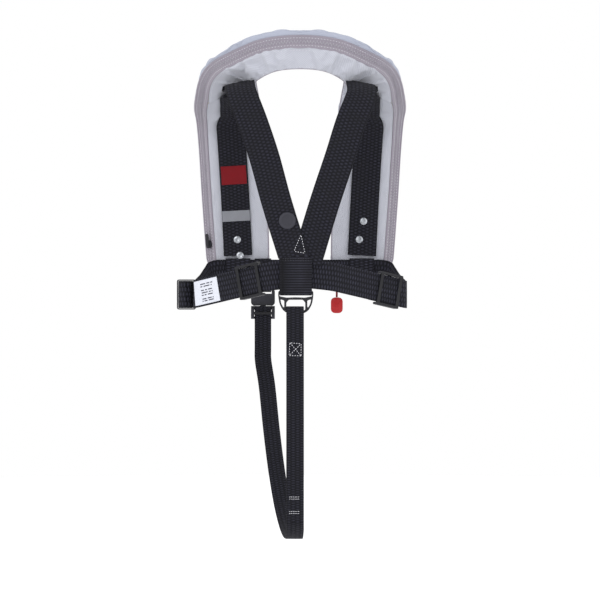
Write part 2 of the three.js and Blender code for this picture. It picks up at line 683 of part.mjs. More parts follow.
function planeStations(points, originAt, xAxis, zAxis) {
  const across = zAxis.clone().cross(xAxis).normalize();
  return points.map(([x, z], i) => {
    const before = points[Math.max(0, i - 1)];
    const after = points[Math.min(points.length - 1, i + 1)];
    const along = xAxis.clone().multiplyScalar(after[0] - before[0])
      .addScaledVector(zAxis, after[1] - before[1]).normalize();
    const out = across.clone().cross(along).normalize();
    const point = originAt.clone().addScaledVector(xAxis, x).addScaledVector(zAxis, z);
    return { point, wide: across, out, along };
  });
}

// Turns stations so that their wide direction points up.
function upright(stations) {
  return stations.map(({ point, wide, out }) => {
    const sign = wide.z >= 0 ? 1 : -1;
    return { point, wide: wide.clone().multiplyScalar(sign), out: out.clone().multiplyScalar(sign) };
  });
}

// A side belt starts in the inner layer under its adjuster and moves out at the belt's side corner.
const sideLayer = (s) => (s < stretchMark(STRETCH) ? INNER_LAYER : 0);
function sideBelt(sign, from, to) {
  const [low, high] = [Math.min(sign * from, sign * to), Math.max(sign * from, sign * to)];
  const run = beltRun(low, high, sideLayer);
  return sign < 0 ? run.reverse() : run;
}

const FOLD_LEAD = 24;
const FOLD_RADIUS = BUCKLE.bar - 0.7;
const frontFold = planeStations(
  foldStations(FOLD_LEAD, 11, BUCKLE.skin, -BUCKLE.skin, FOLD_RADIUS),
  frontPoint, V(1, 0, 0), V(0, 1, 0),
);
const foldMark = beltLength + FRONT_BUCKLE.x - FOLD_LEAD - 2;
const leftSide = sideBelt(-1, stretchMark(2), foldMark);
add('front_belt_left', ribbon(upright([...leftSide, ...frontFold]), BELT_WIDTH), 'webbing');
const maleTip = beltLength - (FRONT_BUCKLE.x + FRONT_BUCKLE.length + 2);
add('front_belt_right', ribbon(upright(sideBelt(1, stretchMark(66), maleTip)), BELT_WIDTH), 'webbing');

// Belt tunnels: the loops in which the belt runs at the feet of the lobes, in line with the straps.
const TUNNEL = { length: 38, wall: 1.5, x: LOBE_X };
function beltTunnel(sign) {
  const high = BELT_WIDTH / 2 + 1;
  const [inner, outer] = [WEB / 2 + GAP + 0.2, LOBE_BASE_Y - LINING - LAYER_GAP - GAP - WAIST_FRONT];
  const ring = (y0, y1, z) => [
    new THREE.Vector2(y0, -z),
    new THREE.Vector2(y1, -z),
    new THREE.Vector2(y1, z),
    new THREE.Vector2(y0, z),
  ];
  const outside = ring(-inner - TUNNEL.wall, outer, high + TUNNEL.wall);
  const body = plate(outside, TUNNEL.length, [ring(-inner, inner, high)]);
  return placed(
    body.translate(0, 0, -TUNNEL.length / 2),
    V(sign * TUNNEL.x, WAIST_FRONT, BELT_FRONT_Z), V(0, 1, 0), V(1, 0, 0),
  );
}
add('belt_tunnel_left', closed(beltTunnel(-1)), 'webbing');
add('belt_tunnel_right', closed(beltTunnel(1)), 'webbing');

// Size label on the left side belt, past the cut end of the tail.
const LABEL = { from: TAIL_END + 3, to: 113, width: BELT_WIDTH - 5, thick: 0.9 };
function sizeLabel() {
  const layer = INNER_LAYER + WEB / 2 + GAP + LABEL.thick / 2;
  const run = beltRun(-stretchMark(LABEL.to), -stretchMark(LABEL.from), layer);
  return ribbon(upright(run), LABEL.width, LABEL.thick);
}
add('size_label', sizeLabel(), 'label');

// Surplus webbing of the left belt, rolled up and held by an elastic keeper.
const ROLL = { beyond: 32, radius: 10.5, width: BELT_WIDTH - 3 };   // beyond: past the belt's side corner
function beltRoll() {
  const outline = roundedShape(2 * ROLL.radius + 14, 2 * ROLL.radius, ROLL.radius - 0.5, 5);
  const roll = plate(outline, ROLL.width).translate(0, 0, -ROLL.width / 2);
  const { point, along, out, wide } = beltPoint(-stretchMark(STRETCH) - ROLL.beyond);
  const away = ROLL.radius + WEB / 2 + GAP + 0.2;
  return placed(roll, point.clone().addScaledVector(out, away), along, wide);
}
function beltKeeper() {
  const wall = 1.6;
  const [wide, deep] = [BELT_WIDTH + 0.2, 2 * ROLL.radius + WEB + 3 * GAP + 0.8];
  const band = plate(roundedShape(wide + 2 * wall + 3, deep + 2 * wall, 4), 12,
    [roundedShape(wide + 3, deep, 3)]).translate(0, 0, -6);
  const { point, along, out, wide: up } = beltPoint(-stretchMark(STRETCH) - ROLL.beyond);
  const middle = deep / 2 - WEB / 2 - GAP - 0.2;
  const centre = point.clone().addScaledVector(out, middle);
  return placed(band, centre, up, along);
}
add('belt_roll', closed(beltRoll()), 'webbing');
add('belt_keeper', closed(beltKeeper()), 'webbing');

// ---- Shoulder straps and yoke ----
const BACK_Y = -119.2;           // right strap's run down the back; the left one lies over it
const OVER_Y = BACK_Y - WEB - GAP;
const STRAP_END_Z = BELT_BACK_Z + BELT_WIDTH / 2 + 3.3;
const STRAP_SLOPE = 0.327;       // run of each strap towards the middle for each unit down

// The straps lie deeper than the lining's seat, and a wider strap deeper still, because it twists.
const STRAP_SINK = 2.1 + 0.07 * (STRAP_WIDTH - 43);
const LEFT_STRAP_X = [81, 67, 51, 33, 9];
const RIGHT_STRAP_X = [86, 72, 57, 35, 12];

// Stations from hand-placed points, each with the direction its outer face looks.
function strapStations(marks) {
  const points = new THREE.CatmullRomCurve3(marks.map(({ at }) => at), false, 'centripetal');
  const faces = new THREE.CatmullRomCurve3(marks.map(({ out }) => out), false, 'catmullrom');
  const steps = (marks.length - 1) * 3;
  return Array.from({ length: steps + 1 }, (_, i) => {
    const t = i / steps;
    const along = points.getTangent(t);
    const out = faces.getPoint(t);
    out.addScaledVector(along, -out.dot(along)).normalize();
    return { point: points.getPoint(t), wide: out.clone().cross(along).normalize(), out, along };
  });
}

function shoulderStrap(sign, endY) {
  const seat = LINING + LAYER_GAP + GAP + WEB / 2 + STRAP_SINK;
  const side = (x, y, z) => V(sign * x, y, z);
  // Under the lining at key u: the strap runs down the middle of the lobe's back.
  const under = (u) => {
    const { point, wide, out } = horseshoe(u);
    const at = point.clone().addScaledVector(wide, u > 4 ? -6 : 0).addScaledVector(out, -seat);
    return { at: side(-at.x, at.y, at.z), out: side(-out.x, out.y, out.z) };
  };
  const [x1, x2, x3, x4, x5] = sign < 0 ? LEFT_STRAP_X : RIGHT_STRAP_X;
  const marks = [
    ...[1.06, 1.7, 2.4, 3, 3.35, 3.7, 4, 4.25, 4.5, SHOULDER - 0.2, SHOULDER + 0.1].map(under),
    { at: side(90, -24, -9), out: side(0.3, -0.1, 0.95) },
    { at: side(88, -62, -15), out: side(0.15, -0.6, 0.75) },
    { at: side(x1, -92, -32), out: side(0.1, -0.95, 0.3) },
    { at: side(x2, -111, -64), out: side(0, -1, 0.1) },
    { at: side(x3, (BACK_Y + endY) / 2 + 2, -108), out: side(0, -1, 0) },
    { at: side(x4, endY, -174), out: side(0, -1, 0) },
    { at: side(x5, endY, STRAP_END_Z), out: side(0, -1, 0) },
  ];
  const stations = strapStations(marks);
  const last = stations[stations.length - 1];
  const level = Math.hypot(1, STRAP_SLOPE);
  last.wide = V(Math.sign(last.wide.x) * level, 0, 0);
  return ribbon(stations, STRAP_WIDTH);
}
add('shoulder_strap_left', shoulderStrap(-1, OVER_Y), 'webbing');
add('shoulder_strap_right', shoulderStrap(1, BACK_Y), 'webbing');

// Press stud on the left strap.
const STUD = { x: -18, z: -199.5, radius: 12, high: 2.6 };
function studPart(profile, y) {
  return turned(profile, 28).rotateX(Math.PI / 2).translate(STUD.x, y, STUD.z);
}
const capFoot = OVER_Y - WEB / 2 - GAP;
const socketFoot = OVER_Y + WEB / 2 + GAP;
const capProfile = [
  [0, 0], [STUD.radius, 0], [STUD.radius, 0.8], [STUD.radius - 1.4, STUD.high], [0, STUD.high],
];
const socketProfile = [[0, -2.2], [8.5, -2.2], [8.5, 0], [0, 0]];
add('stud_cap', closed(studPart(capProfile, capFoot)), 'stud');
add('stud_socket', closed(studPart(socketProfile, socketFoot)), 'stud');

// Yoke loop: the left strap carried on over the belt, round the ring's bar and up behind it.
const RING_DROP = 6.5;           // from the belt's lower edge to the ring's top bar
const RING_HEIGHT = 30.5;
const ringBarZ = BELT_BACK_Z - BELT_WIDTH / 2 - RING_DROP;
const RING = { barZ: ringBarZ, width: 50, low: ringBarZ - RING_HEIGHT, thick: 3.6 };
const YOKE_WIDTH = 46;
const yokeIn = -WAIST_BACK - OUTER_LAYER + WEB / 2 + GAP + WEB / 2;
const RING_Y = (OVER_Y + yokeIn) / 2;
function yokeLoop() {
  const r = (yokeIn - OVER_Y) / 2;
  const z = RING.barZ - 1.2;
  const points = [[OVER_Y, STRAP_END_Z - GAP], [OVER_Y, z + 10], [OVER_Y, z]];
  for (let i = 1; i < 8; i += 1) {
    const angle = Math.PI + Math.PI * i / 8;
    points.push([RING_Y + Math.cos(angle) * r, z + Math.sin(angle) * r]);
  }
  points.push([yokeIn, z], [yokeIn, z + 10], [yokeIn, BELT_BACK_Z + BELT_WIDTH / 2]);
  return ribbon(planeStations(points, V(YOKE_X, 0, 0), V(0, 1, 0), V(0, 0, 1)), YOKE_WIDTH);
}
add('yoke_loop', yokeLoop(), 'webbing');

// Crotch ring: a flat moulded ladder frame hanging from the yoke loop.
const EYE = { width: 27, low: RING.low + 4.2, high: RING.barZ - 11 };
function crotchRing() {
  const x = RING.width / 2;
  const drop = RING.barZ - RING.low;
  const outline = [
    [-x, 2], [-x, -7], [-x + 1.5, -0.6 * drop], [-x + 6, -0.9 * drop], [-x + 11, -drop], [x - 11, -drop],
    [x - 6, -0.9 * drop], [x - 1.5, -0.6 * drop], [x, -7], [x, 2],
  ].map(([a, b]) => new THREE.Vector2(a, RING.barZ + b));
  const slot = [[-x + 1.9, -2.2], [-x + 1.9, -8], [x - 1.9, -8], [x - 1.9, -2.2]];
  const eye = [
    [-EYE.width / 2, EYE.high - RING.barZ], [-EYE.width / 2, EYE.low - RING.barZ + 2],
    [-EYE.width / 2 + 2, EYE.low - RING.barZ], [EYE.width / 2 - 2, EYE.low - RING.barZ],
    [EYE.width / 2, EYE.low - RING.barZ + 2], [EYE.width / 2, EYE.high - RING.barZ],
  ];
  const sideEye = (sign) => [[16.2, -11], [16.2, -22.5], [17.4, -22.5], [x - 4.4, -17.5], [x - 3.2, -11]]
    .map(([a, b]) => [sign * a, b]);
  const holes = [slot, eye, sideEye(1), sideEye(-1)]
    .map((hole) => hole.map(([a, b]) => new THREE.Vector2(a, RING.barZ + b)));
  const flat = plate(outline, RING.thick, holes).rotateX(Math.PI / 2);
  return flat.translate(YOKE_X, RING_Y + RING.thick / 2, 0);
}
add('crotch_ring', closed(crotchRing()), 'plastic');

// ---- Crotch strap ----
const RING_SWING_ROOM = 4.5;      // slack of the strap's loop round the ring's low bar
const crotchBarZ = (RING.low + EYE.low) / 2;
const CROTCH_X = -7;
const SEW = { low: -393, overlapHigh: -587, overlapLow: -627 };

function crossStations(points) {
  return points.map((point, i) => {
    const before = points[Math.max(0, i - 1)];
    const after = points[Math.min(points.length - 1, i + 1)];
    const along = after.clone().sub(before).normalize();
    const out = along.clone().cross(V(1, 0, 0)).normalize();
    return { point, wide: out.clone().cross(along).normalize(), out, along };
  });
}

const CROTCH_BACK_Y = RING_Y - 1;
function crotchStrapBack() {
  const r = RING.thick / 2 + RING_SWING_ROOM + WEB / 2;
  const inner = CROTCH_BACK_Y + (WEB + GAP) / 2;
  const outer = CROTCH_BACK_Y - (WEB + GAP) / 2;
  const points = [[inner, SEW.low], [inner, crotchBarZ - 26], [RING_Y + r * 0.9, crotchBarZ - 5]];
  for (let i = 0; i <= 8; i += 1) {
    const angle = Math.PI * i / 8;
    points.push([RING_Y + Math.cos(angle) * r, crotchBarZ + Math.sin(angle) * r]);
  }
  points.push([RING_Y - r * 0.9, crotchBarZ - 5], [outer, crotchBarZ - 26], [outer, SEW.low]);
  points.push([outer + 3, -450], [outer - 1, -530]);
  points.push([outer + 1, SEW.overlapHigh], [outer + 7, SEW.overlapLow]);
  return ribbon(crossStations(points.map(([y, z]) => V(CROTCH_X, y, z))), CROTCH_WIDTH);
}
add('crotch_strap_back', crotchStrapBack(), 'webbing');

const CROTCH_BUCKLE = { length: 26, top: BELT_FRONT_Z - BELT_WIDTH / 2 - 3.5 };
const crotchPoint = V(CROTCH_FRONT_X, WAIST_FRONT, CROTCH_BUCKLE.top);
const frontLine = WAIST_FRONT - webBelow;
function crotchStrapFront() {
  const inner = CROTCH_BACK_Y + (WEB + GAP) / 2;
  const points = [
    V(CROTCH_X, inner + 1, SEW.overlapHigh),
    V(CROTCH_X, inner + 7.2, SEW.overlapLow),
    V(CROTCH_X, -101, -641),
    V(CROTCH_X - 1, -84, -652),
    V(CROTCH_X - 2, -55, CROTCH_LOW_Z),
    V(CROTCH_X - 6, -15, CROTCH_LOW_Z),
    V(CROTCH_X - 12, 25, CROTCH_LOW_Z + 12),
    V(CROTCH_X - 20, 58, CROTCH_LOW_Z + 42),
    V(CROTCH_X - 28, 78, CROTCH_LOW_Z + 88),
    V(CROTCH_X - 36, 90, CROTCH_LOW_Z + 150),
    V(CROTCH_X - 43, 98, -440),
    V(CROTCH_FRONT_X, frontLine, -400),
    V(CROTCH_FRONT_X, frontLine, CROTCH_BUCKLE.top - CROTCH_BUCKLE.length - 1),
  ];
  return ribbon(crossStations(points), CROTCH_WIDTH);
}
add('crotch_strap_front', crotchStrapFront(), 'webbing');

function crotchPlace(geometry) {
  return placed(geometry, crotchPoint, V(0, 0, -1), V(0, 1, 0));
}
add('crotch_buckle_female', crotchPlace(buckleFemale(CROTCH_WIDTH, CROTCH_BUCKLE.length)), 'plastic');
add('crotch_buckle_male', crotchPlace(buckleMale(CROTCH_WIDTH, CROTCH_BUCKLE.length)), 'plastic');
const crotchArm = (sign) => closed(crotchPlace(buckleArm(CROTCH_WIDTH, CROTCH_BUCKLE.length, sign)));
add('crotch_buckle_arm_right', crotchArm(-1), 'plastic');
add('crotch_buckle_arm_left', crotchArm(1), 'plastic');

// Anchor loop: joins the crotch buckle's bar to the front belt.
function crotchAnchor() {
  const t = WEB / 2 + GAP;
  const bar = BUCKLE.skin + GAP;
  const [high, low] = [BELT_FRONT_Z + BELT_WIDTH / 2 + GAP, crotchPoint.z - BUCKLE.bar - GAP];
  const beltLow = BELT_FRONT_Z - BELT_WIDTH / 2;
  const ring = (grow) => [
    [t + grow, high + grow], [-t - grow, high + grow], [-t - grow, beltLow + 4], [-bar - grow, beltLow - 1],
    [-bar - grow, low - grow], [bar + grow, low - grow], [bar + grow, beltLow - 1], [t + grow, beltLow + 4],
  ].map(([y, z]) => new THREE.Vector2(y, z));
  const body = plate(ring(WEB), CROTCH_WIDTH, [ring(0)]).translate(0, 0, -CROTCH_WIDTH / 2);
  return placed(body, V(CROTCH_FRONT_X, WAIST_FRONT, 0), V(0, 1, 0), V(1, 0, 0));
}
add('crotch_anchor', closed(crotchAnchor()), 'webbing');

export default jacket;
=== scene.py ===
"""Inflatable life jacket with back harness and crotch strap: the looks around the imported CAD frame.

Routes are written in millimetres and turned into metres where a mesh is made.
+X is the wearer's right, +Y the wearer's front, +Z up.
"""

import math

import bmesh
import bpy
from mathutils import Matrix, Vector
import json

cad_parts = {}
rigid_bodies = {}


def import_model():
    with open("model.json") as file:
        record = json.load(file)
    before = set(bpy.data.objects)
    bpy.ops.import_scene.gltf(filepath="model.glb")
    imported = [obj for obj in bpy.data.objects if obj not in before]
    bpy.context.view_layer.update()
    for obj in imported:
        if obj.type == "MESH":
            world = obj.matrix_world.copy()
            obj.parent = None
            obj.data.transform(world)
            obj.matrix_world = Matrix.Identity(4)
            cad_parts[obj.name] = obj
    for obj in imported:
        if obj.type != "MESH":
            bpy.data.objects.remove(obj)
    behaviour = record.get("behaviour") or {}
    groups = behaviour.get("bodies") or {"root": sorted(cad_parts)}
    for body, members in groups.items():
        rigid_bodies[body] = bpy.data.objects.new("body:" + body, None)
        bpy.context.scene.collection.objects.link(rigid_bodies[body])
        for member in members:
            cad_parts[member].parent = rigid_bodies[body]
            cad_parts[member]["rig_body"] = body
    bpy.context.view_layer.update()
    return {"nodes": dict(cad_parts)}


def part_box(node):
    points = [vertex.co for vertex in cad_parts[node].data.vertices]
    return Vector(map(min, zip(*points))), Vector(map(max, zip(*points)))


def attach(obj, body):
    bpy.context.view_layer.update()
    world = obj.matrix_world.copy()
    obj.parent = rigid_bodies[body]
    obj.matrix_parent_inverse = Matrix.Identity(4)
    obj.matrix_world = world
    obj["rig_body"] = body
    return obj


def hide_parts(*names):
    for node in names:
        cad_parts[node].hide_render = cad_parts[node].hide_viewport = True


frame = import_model()

MM = 0.001
MERGE = 1e-6                     # metres between points that are one
GAP = 0.3                        # millimetres left between pieces that lie together
WEB = 1.8                        # thickness of the webbing
BELT_WIDTH = 40
STRAP_WIDTH = 43
CROTCH_WIDTH = 25
YOKE_WIDTH = 46
UP = Vector((0, 0, 1))
RIGHT = Vector((1, 0, 0))
FRONT = Vector((0, 1, 0))

# ---- Camera and stage ----
CAMERA_PLACE = (0.0, -3.62, -0.312)
CAMERA_LENS = 148
CAMERA_SENSOR = 36
FLOOR_Z = -0.74


def make_camera():
    data = bpy.data.cameras.new("camera")
    data.lens = CAMERA_LENS
    data.sensor_width = CAMERA_SENSOR
    camera = bpy.data.objects.new("camera", data)
    camera.location = CAMERA_PLACE
    camera.rotation_euler = (math.pi / 2, 0, 0)
    bpy.context.scene.collection.objects.link(camera)
    bpy.context.scene.camera = camera


make_camera()


# ---- Finishes ----
class Finish:
    """A procedural material and the nodes that feed its shader."""

    def __init__(self, name, roughness=0.8, metallic=0.0, sheen=0.0, coat=0.0):
        self.material = bpy.data.materials.new(name)
        self.material.use_nodes = True
        self.nodes = self.material.node_tree.nodes
        self.links = self.material.node_tree.links
        self.shader = self.nodes["Principled BSDF"]
        self.shader.inputs["Roughness"].default_value = roughness
        self.shader.inputs["Metallic"].default_value = metallic
        self.shader.inputs["Sheen Weight"].default_value = sheen
        self.shader.inputs["Coat Weight"].default_value = coat

    def feed(self, socket, value):
        if isinstance(value, bpy.types.NodeSocket):
            self.links.new(value, socket)
        elif value is not None:
            socket.default_value = value

    def math(self, operation, *values):
        node = self.nodes.new("ShaderNodeMath")
        node.operation = operation
        for socket, value in zip(node.inputs, values):
            self.feed(socket, value)
        return node.outputs[0]

    def coordinates(self, kind):
        return self.nodes.new("ShaderNodeTexCoord").outputs[kind]

    def across_and_along(self):
        split = self.nodes.new("ShaderNodeSeparateXYZ")
        self.links.new(self.coordinates("UV"), split.inputs[0])
        return split.outputs[0], split.outputs[1]

    def noise(self, vector, scale, detail=3.0, roughness=0.5):
        node = self.nodes.new("ShaderNodeTexNoise")
        self.links.new(vector, node.inputs["Vector"])
        node.inputs["Scale"].default_value = scale
        node.inputs["Detail"].default_value = detail
        node.inputs["Roughness"].default_value = roughness
        return node.outputs[0]

    def stretched(self, vector, scale):
        node = self.nodes.new("ShaderNodeMapping")
        self.links.new(vector, node.inputs["Vector"])
        node.inputs["Scale"].default_value = scale
        return node.outputs[0]

    def blend(self, share, low, high):
        node = self.nodes.new("ShaderNodeMix")
        node.data_type = "RGBA"
        self.feed(node.inputs["Factor"], share)
        self.feed(node.inputs["A"], low)
        self.feed(node.inputs["B"], high)
        return node.outputs["Result"]

    def between(self, value, low, high, out_low=0.0, out_high=1.0):
        node = self.nodes.new("ShaderNodeMapRange")
        for socket, item in zip(node.inputs, (value, low, high, out_low, out_high)):
            self.feed(socket, item)
        return node.outputs[0]

    def relief(self, height, depth, strength=1.0):
        node = self.nodes.new("ShaderNodeBump")
        node.inputs["Distance"].default_value = depth
        node.inputs["Strength"].default_value = strength
        self.links.new(height, node.inputs["Height"])
        self.links.new(node.outputs[0], self.shader.inputs["Normal"])

    def colour(self, value):
        self.feed(self.shader.inputs["Base Color"], value)

    def rough(self, value):
        self.feed(self.shader.inputs["Roughness"], value)


def tone(red, green, blue):
    """A linear colour from the 0 to 255 values of a colour chart."""
    def linear(value):
        value /= 255
        return value / 12.92 if value <= 0.04045 else ((value + 0.055) / 1.055) ** 2.4

    return (linear(red), linear(green), linear(blue), 1)


def webbing_finish(name, dark, light, pitch, lane, slant=0.5):
    """Narrow woven tape: lanes of yarn along it, each lane a part of a rib ahead of its neighbour. Its colour
    is painted light and shade: raised ribs painted lighter as a highlight, grooves painted darker as shade.
    """
    f = Finish(name, roughness=0.88, sheen=0.02)
    f.shader.inputs["Specular IOR Level"].default_value = 0.22
    across, along = f.across_and_along()
    lanes = f.math("DIVIDE", across, lane)
    step = f.math("MULTIPLY", f.math("FLOOR", lanes), slant)
    ribs = f.math("ADD", f.math("DIVIDE", along, pitch), step)
    lane_height = f.math("POWER", f.math("MULTIPLY", f.math("PINGPONG", lanes, 0.5), 2), 0.4)
    rib_height = f.math("POWER", f.math("MULTIPLY", f.math("PINGPONG", ribs, 0.5), 2), 0.8)
    height = f.math("MULTIPLY", lane_height, rib_height)
    uv = f.coordinates("UV")
    fuzz = f.noise(uv, 2600, 2)
    worn = f.noise(uv, 55, 4)
    # Painted highlight on the raised ribs and lanes and painted shade in the grooves; the worn noise varies
    # the roughness and also the strength of this painted highlight.
    painted_rib_highlight = f.math("MULTIPLY", f.math("POWER", height, 1.6), f.between(worn, 0.3, 0.7, 0.45, 1.0))
    f.colour(f.blend(f.math("MULTIPLY", painted_rib_highlight, f.between(fuzz, 0.3, 0.7, 0.6, 1.0)), dark, light))
    f.rough(f.between(worn, 0.3, 0.7, 0.74, 0.92))
    f.relief(f.math("ADD", height, f.math("MULTIPLY", fuzz, 0.15)), 0.0013, 1.0)
    return f.material


def cloth_finish(name, dark, light, pitch, depth=0.00025, sheen=0.25, roughness=0.82):
    """Twill: fine slanting lines in a plain yarn, with soft tone changes over the cloth. The lines are
    painted highlight on the raised ridges and painted shade in the furrows; the tone changes are random.
    """
    f = Finish(name, roughness=roughness, sheen=sheen)
    across, along = f.across_and_along()
    slanting = f.math("DIVIDE", f.math("ADD", across, f.math("MULTIPLY", along, 0.8)), pitch)
    line = f.math("MULTIPLY", f.math("PINGPONG", slanting, 0.5), 2)
    thread = f.math("MULTIPLY", f.math("PINGPONG", f.math("DIVIDE", along, pitch * 0.6), 0.5), 2)
    uv = f.coordinates("UV")
    patches = f.noise(uv, 18, 4, 0.6)
    yarn = f.noise(uv, 900, 2)
    # Painted highlight and shade: the twill line lightens the raised ridges and darkens the furrows; the
    # patches and yarn noise add random tone.
    share = f.math("ADD", f.math("MULTIPLY", line, 0.45), f.math("MULTIPLY", patches, 0.45))
    share = f.math("ADD", share, f.math("MULTIPLY", yarn, 0.15))
    f.colour(f.blend(share, dark, light))
    f.rough(f.between(patches, 0.3, 0.7, roughness - 0.06, roughness + 0.08))
    weave = f.math("ADD", line, f.math("MULTIPLY", thread, 0.5))
    f.relief(f.math("ADD", weave, f.math("MULTIPLY", yarn, 0.4)), depth, 0.8)
    return f.material


def moulded_finish(name, base, worn, roughness=0.42, grain=900, coat=0.0):
    """Injection-moulded plastic: a fine spark grain, cloudy gloss and edges that have paled."""
    f = Finish(name, roughness=roughness, coat=coat)
    f.shader.inputs["Specular IOR Level"].default_value = 0.35
    place = f.coordinates("Object")
    clouds = f.noise(place, 60, 3)
    fine = f.noise(place, grain, 2)
    edge = f.nodes.new("ShaderNodeNewGeometry").outputs["Pointiness"]
    edges = f.between(edge, 0.51, 0.6, 0.0, 0.7)
    share = f.math("ADD", edges, f.between(clouds, 0.3, 0.75, 0.0, 0.25))
    f.colour(f.blend(share, base, worn))
    f.rough(f.between(clouds, 0.3, 0.7, roughness - 0.07, roughness + 0.1))
    f.relief(fine, 0.00012, 0.5)
    return f.material


def steel_finish():
    """Drawn steel with fine lines round the cylinder and a few dull patches."""
    f = Finish("drawn_steel", roughness=0.3, metallic=1.0)
    place = f.coordinates("Object")
    drawn = f.noise(f.stretched(place, (60, 60, 2600)), 1.0, 2)
    dull = f.noise(place, 45, 4)
    f.colour(f.blend(f.between(dull, 0.35, 0.7), tone(150, 154, 160), tone(196, 199, 205)))
    f.rough(f.between(dull, 0.3, 0.7, 0.24, 0.42))
    f.relief(drawn, 0.00008, 0.5)
    return f.material


def coated_finish(name, dark, light):
    """Coated fabric of the air chamber: a faint grid under a smooth skin, with painted shade in its creases
    and painted highlight on their ridges.
    """
    f = Finish(name, roughness=0.45, sheen=0.05)
    across, along = f.across_and_along()
    grid = f.math("MAXIMUM", f.math("PINGPONG", f.math("DIVIDE", across, 0.0012), 0.5),
                  f.math("PINGPONG", f.math("DIVIDE", along, 0.0012), 0.5))
    creases = f.noise(f.coordinates("UV"), 35, 4)
    # Painted shade in the hollows of the creases and painted highlight on their ridges: the colour follows
    # the crease relief.
    f.colour(f.blend(f.between(creases, 0.3, 0.7), dark, light))
    f.rough(f.between(creases, 0.3, 0.7, 0.36, 0.52))
    f.relief(f.math("ADD", grid, f.math("MULTIPLY", creases, 2)), 0.0003, 0.5)
    return f.material


def thread_finish(name, dark, light):
    """Twisted sewing thread."""
    f = Finish(name, roughness=0.6, sheen=0.2)
    place = f.coordinates("Object")
    ply = f.noise(place, 1800, 2)
    f.colour(f.blend(f.between(ply, 0.35, 0.65), dark, light))
    f.rough(f.between(ply, 0.3, 0.7, 0.5, 0.7))
    f.relief(ply, 0.0002, 0.6)
    return f.material


# In each webbing finish the light tone is the painted highlight on the raised ribs and the dark tone the
# painted shade in the grooves.
STRAP_WEB = webbing_finish("strap_webbing", tone(11, 11, 17), tone(62, 62, 76), 0.0048, 0.0058, 0.5)
BELT_WEB = webbing_finish("belt_webbing", tone(10, 10, 16), tone(72, 72, 88), 0.0042, 0.0070, 0.35)
YOKE_WEB = webbing_finish("yoke_webbing", tone(9, 9, 14), tone(70, 70, 84), 0.0036, 0.0500, 0.0)
NARROW_WEB = webbing_finish("crotch_webbing", tone(10, 10, 16), tone(60, 60, 74), 0.0036, 0.0063, 0.5)
PALE_WEB = webbing_finish("pale_tape", tone(150, 152, 160), tone(196, 198, 206), 0.0020, 0.0012, 0.5)
RED_WEB = webbing_finish("red_tape", tone(128, 18, 28), tone(196, 44, 54), 0.0020, 0.0012, 0.5)
# The dark and light tones of the cloth finishes span random tone patches and the painted highlight and shade
# of the twill ridges.
COVER_CLOTH = cloth_finish("cover_cloth", tone(152, 157, 174), tone(186, 191, 206), 0.0016)
LINING_CLOTH = cloth_finish("lining_twill", tone(168, 170, 181), tone(204, 206, 216), 0.0026, 0.0006)
ZIP_TAPE = cloth_finish("zip_tape", tone(122, 115, 126), tone(166, 160, 172), 0.0014, 0.0003)
COIL = moulded_finish("zip_coil_nylon", tone(168, 164, 174), tone(205, 203, 211), 0.5)
# The chamber's two tones span the painted shade in its creases and the painted highlight on their ridges.
CHAMBER = coated_finish("chamber_fabric", tone(206, 160, 20), tone(236, 198, 40))
BLACK_PLASTIC = moulded_finish("black_acetal", tone(12, 12, 17), tone(44, 44, 52), 0.5)
STUD_PLASTIC = moulded_finish("stud_nylon", tone(40, 40, 48), tone(66, 66, 76), 0.55)
RED_PLASTIC = moulded_finish("red_plastic", tone(168, 20, 26), tone(206, 62, 62), 0.38)
STEEL = steel_finish()
WHITE_THREAD = thread_finish("white_thread", tone(205, 205, 212), tone(248, 248, 252))
GREY_THREAD = thread_finish("grey_thread", tone(192, 190, 198), tone(236, 235, 242))
DARK_THREAD = thread_finish("dark_thread", tone(24, 24, 32), tone(60, 60, 72))
# Braid with the same painted rib highlight and groove shade as the webbing.
CORD_BRAID = webbing_finish("cord_braid", tone(140, 16, 24), tone(206, 46, 52), 0.0016, 0.0012, 0.5)
# Label satin with the same painted twill highlight and shade.
LABEL_CLOTH = cloth_finish("label_satin", tone(204, 207, 217), tone(226, 229, 238), 0.0010, 0.0001, 0.1, 0.55)
LABEL_INK = moulded_finish("label_ink", tone(28, 28, 36), tone(72, 72, 84), 0.6, 2200)
SLEEVE_ELASTIC = moulded_finish("sleeve_elastic", tone(18, 18, 25), tone(54, 54, 66), 0.85, 1500)


# ---- Making pieces ----
def object_of(bm, name, finish, smooth_angle=40):
    """Turns a finished bmesh into an object at the origin."""
    mesh = bpy.data.meshes.new(name)
    bm.to_mesh(mesh)
    bm.free()
    mesh.materials.append(finish)
    mesh.shade_smooth()
    mesh.set_sharp_from_angle(angle=math.radians(smooth_angle))
    piece = bpy.data.objects.new(name, mesh)
    bpy.context.scene.collection.objects.link(piece)
    return piece


def stand_for(piece, nodes):
    """The piece takes the place of CAD nodes and rides on their body."""
    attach(piece, frame["nodes"][nodes[0]]["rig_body"])
    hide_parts(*nodes)
    return piece


def go_with(piece, node):
    """An extra detail that rides on the same body as a CAD node."""
    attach(piece, frame["nodes"][node]["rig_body"])
    return piece


def of_kind(geom, kind):
    return [item for item in geom if isinstance(item, kind)]


def circle(radius, count, across=0.0, away=0.0):
    """Evenly spaced points round a circle, as pairs."""
    angles = [2 * math.pi * k / count for k in range(count)]
    return [(across + radius * math.cos(a), away + radius * math.sin(a)) for a in angles]


def placed(at, along, across, away):
    """The matrix that takes a unit shape to a place, stretched along three directions."""
    turn = Matrix((along, across, away)).transposed()
    return Matrix.Translation(at * MM) @ (turn * MM).to_4x4()


def distances(points):
    total = [0.0]
    for a, b in zip(points, points[1:]):
        total.append(total[-1] + (b - a).length)
    return total


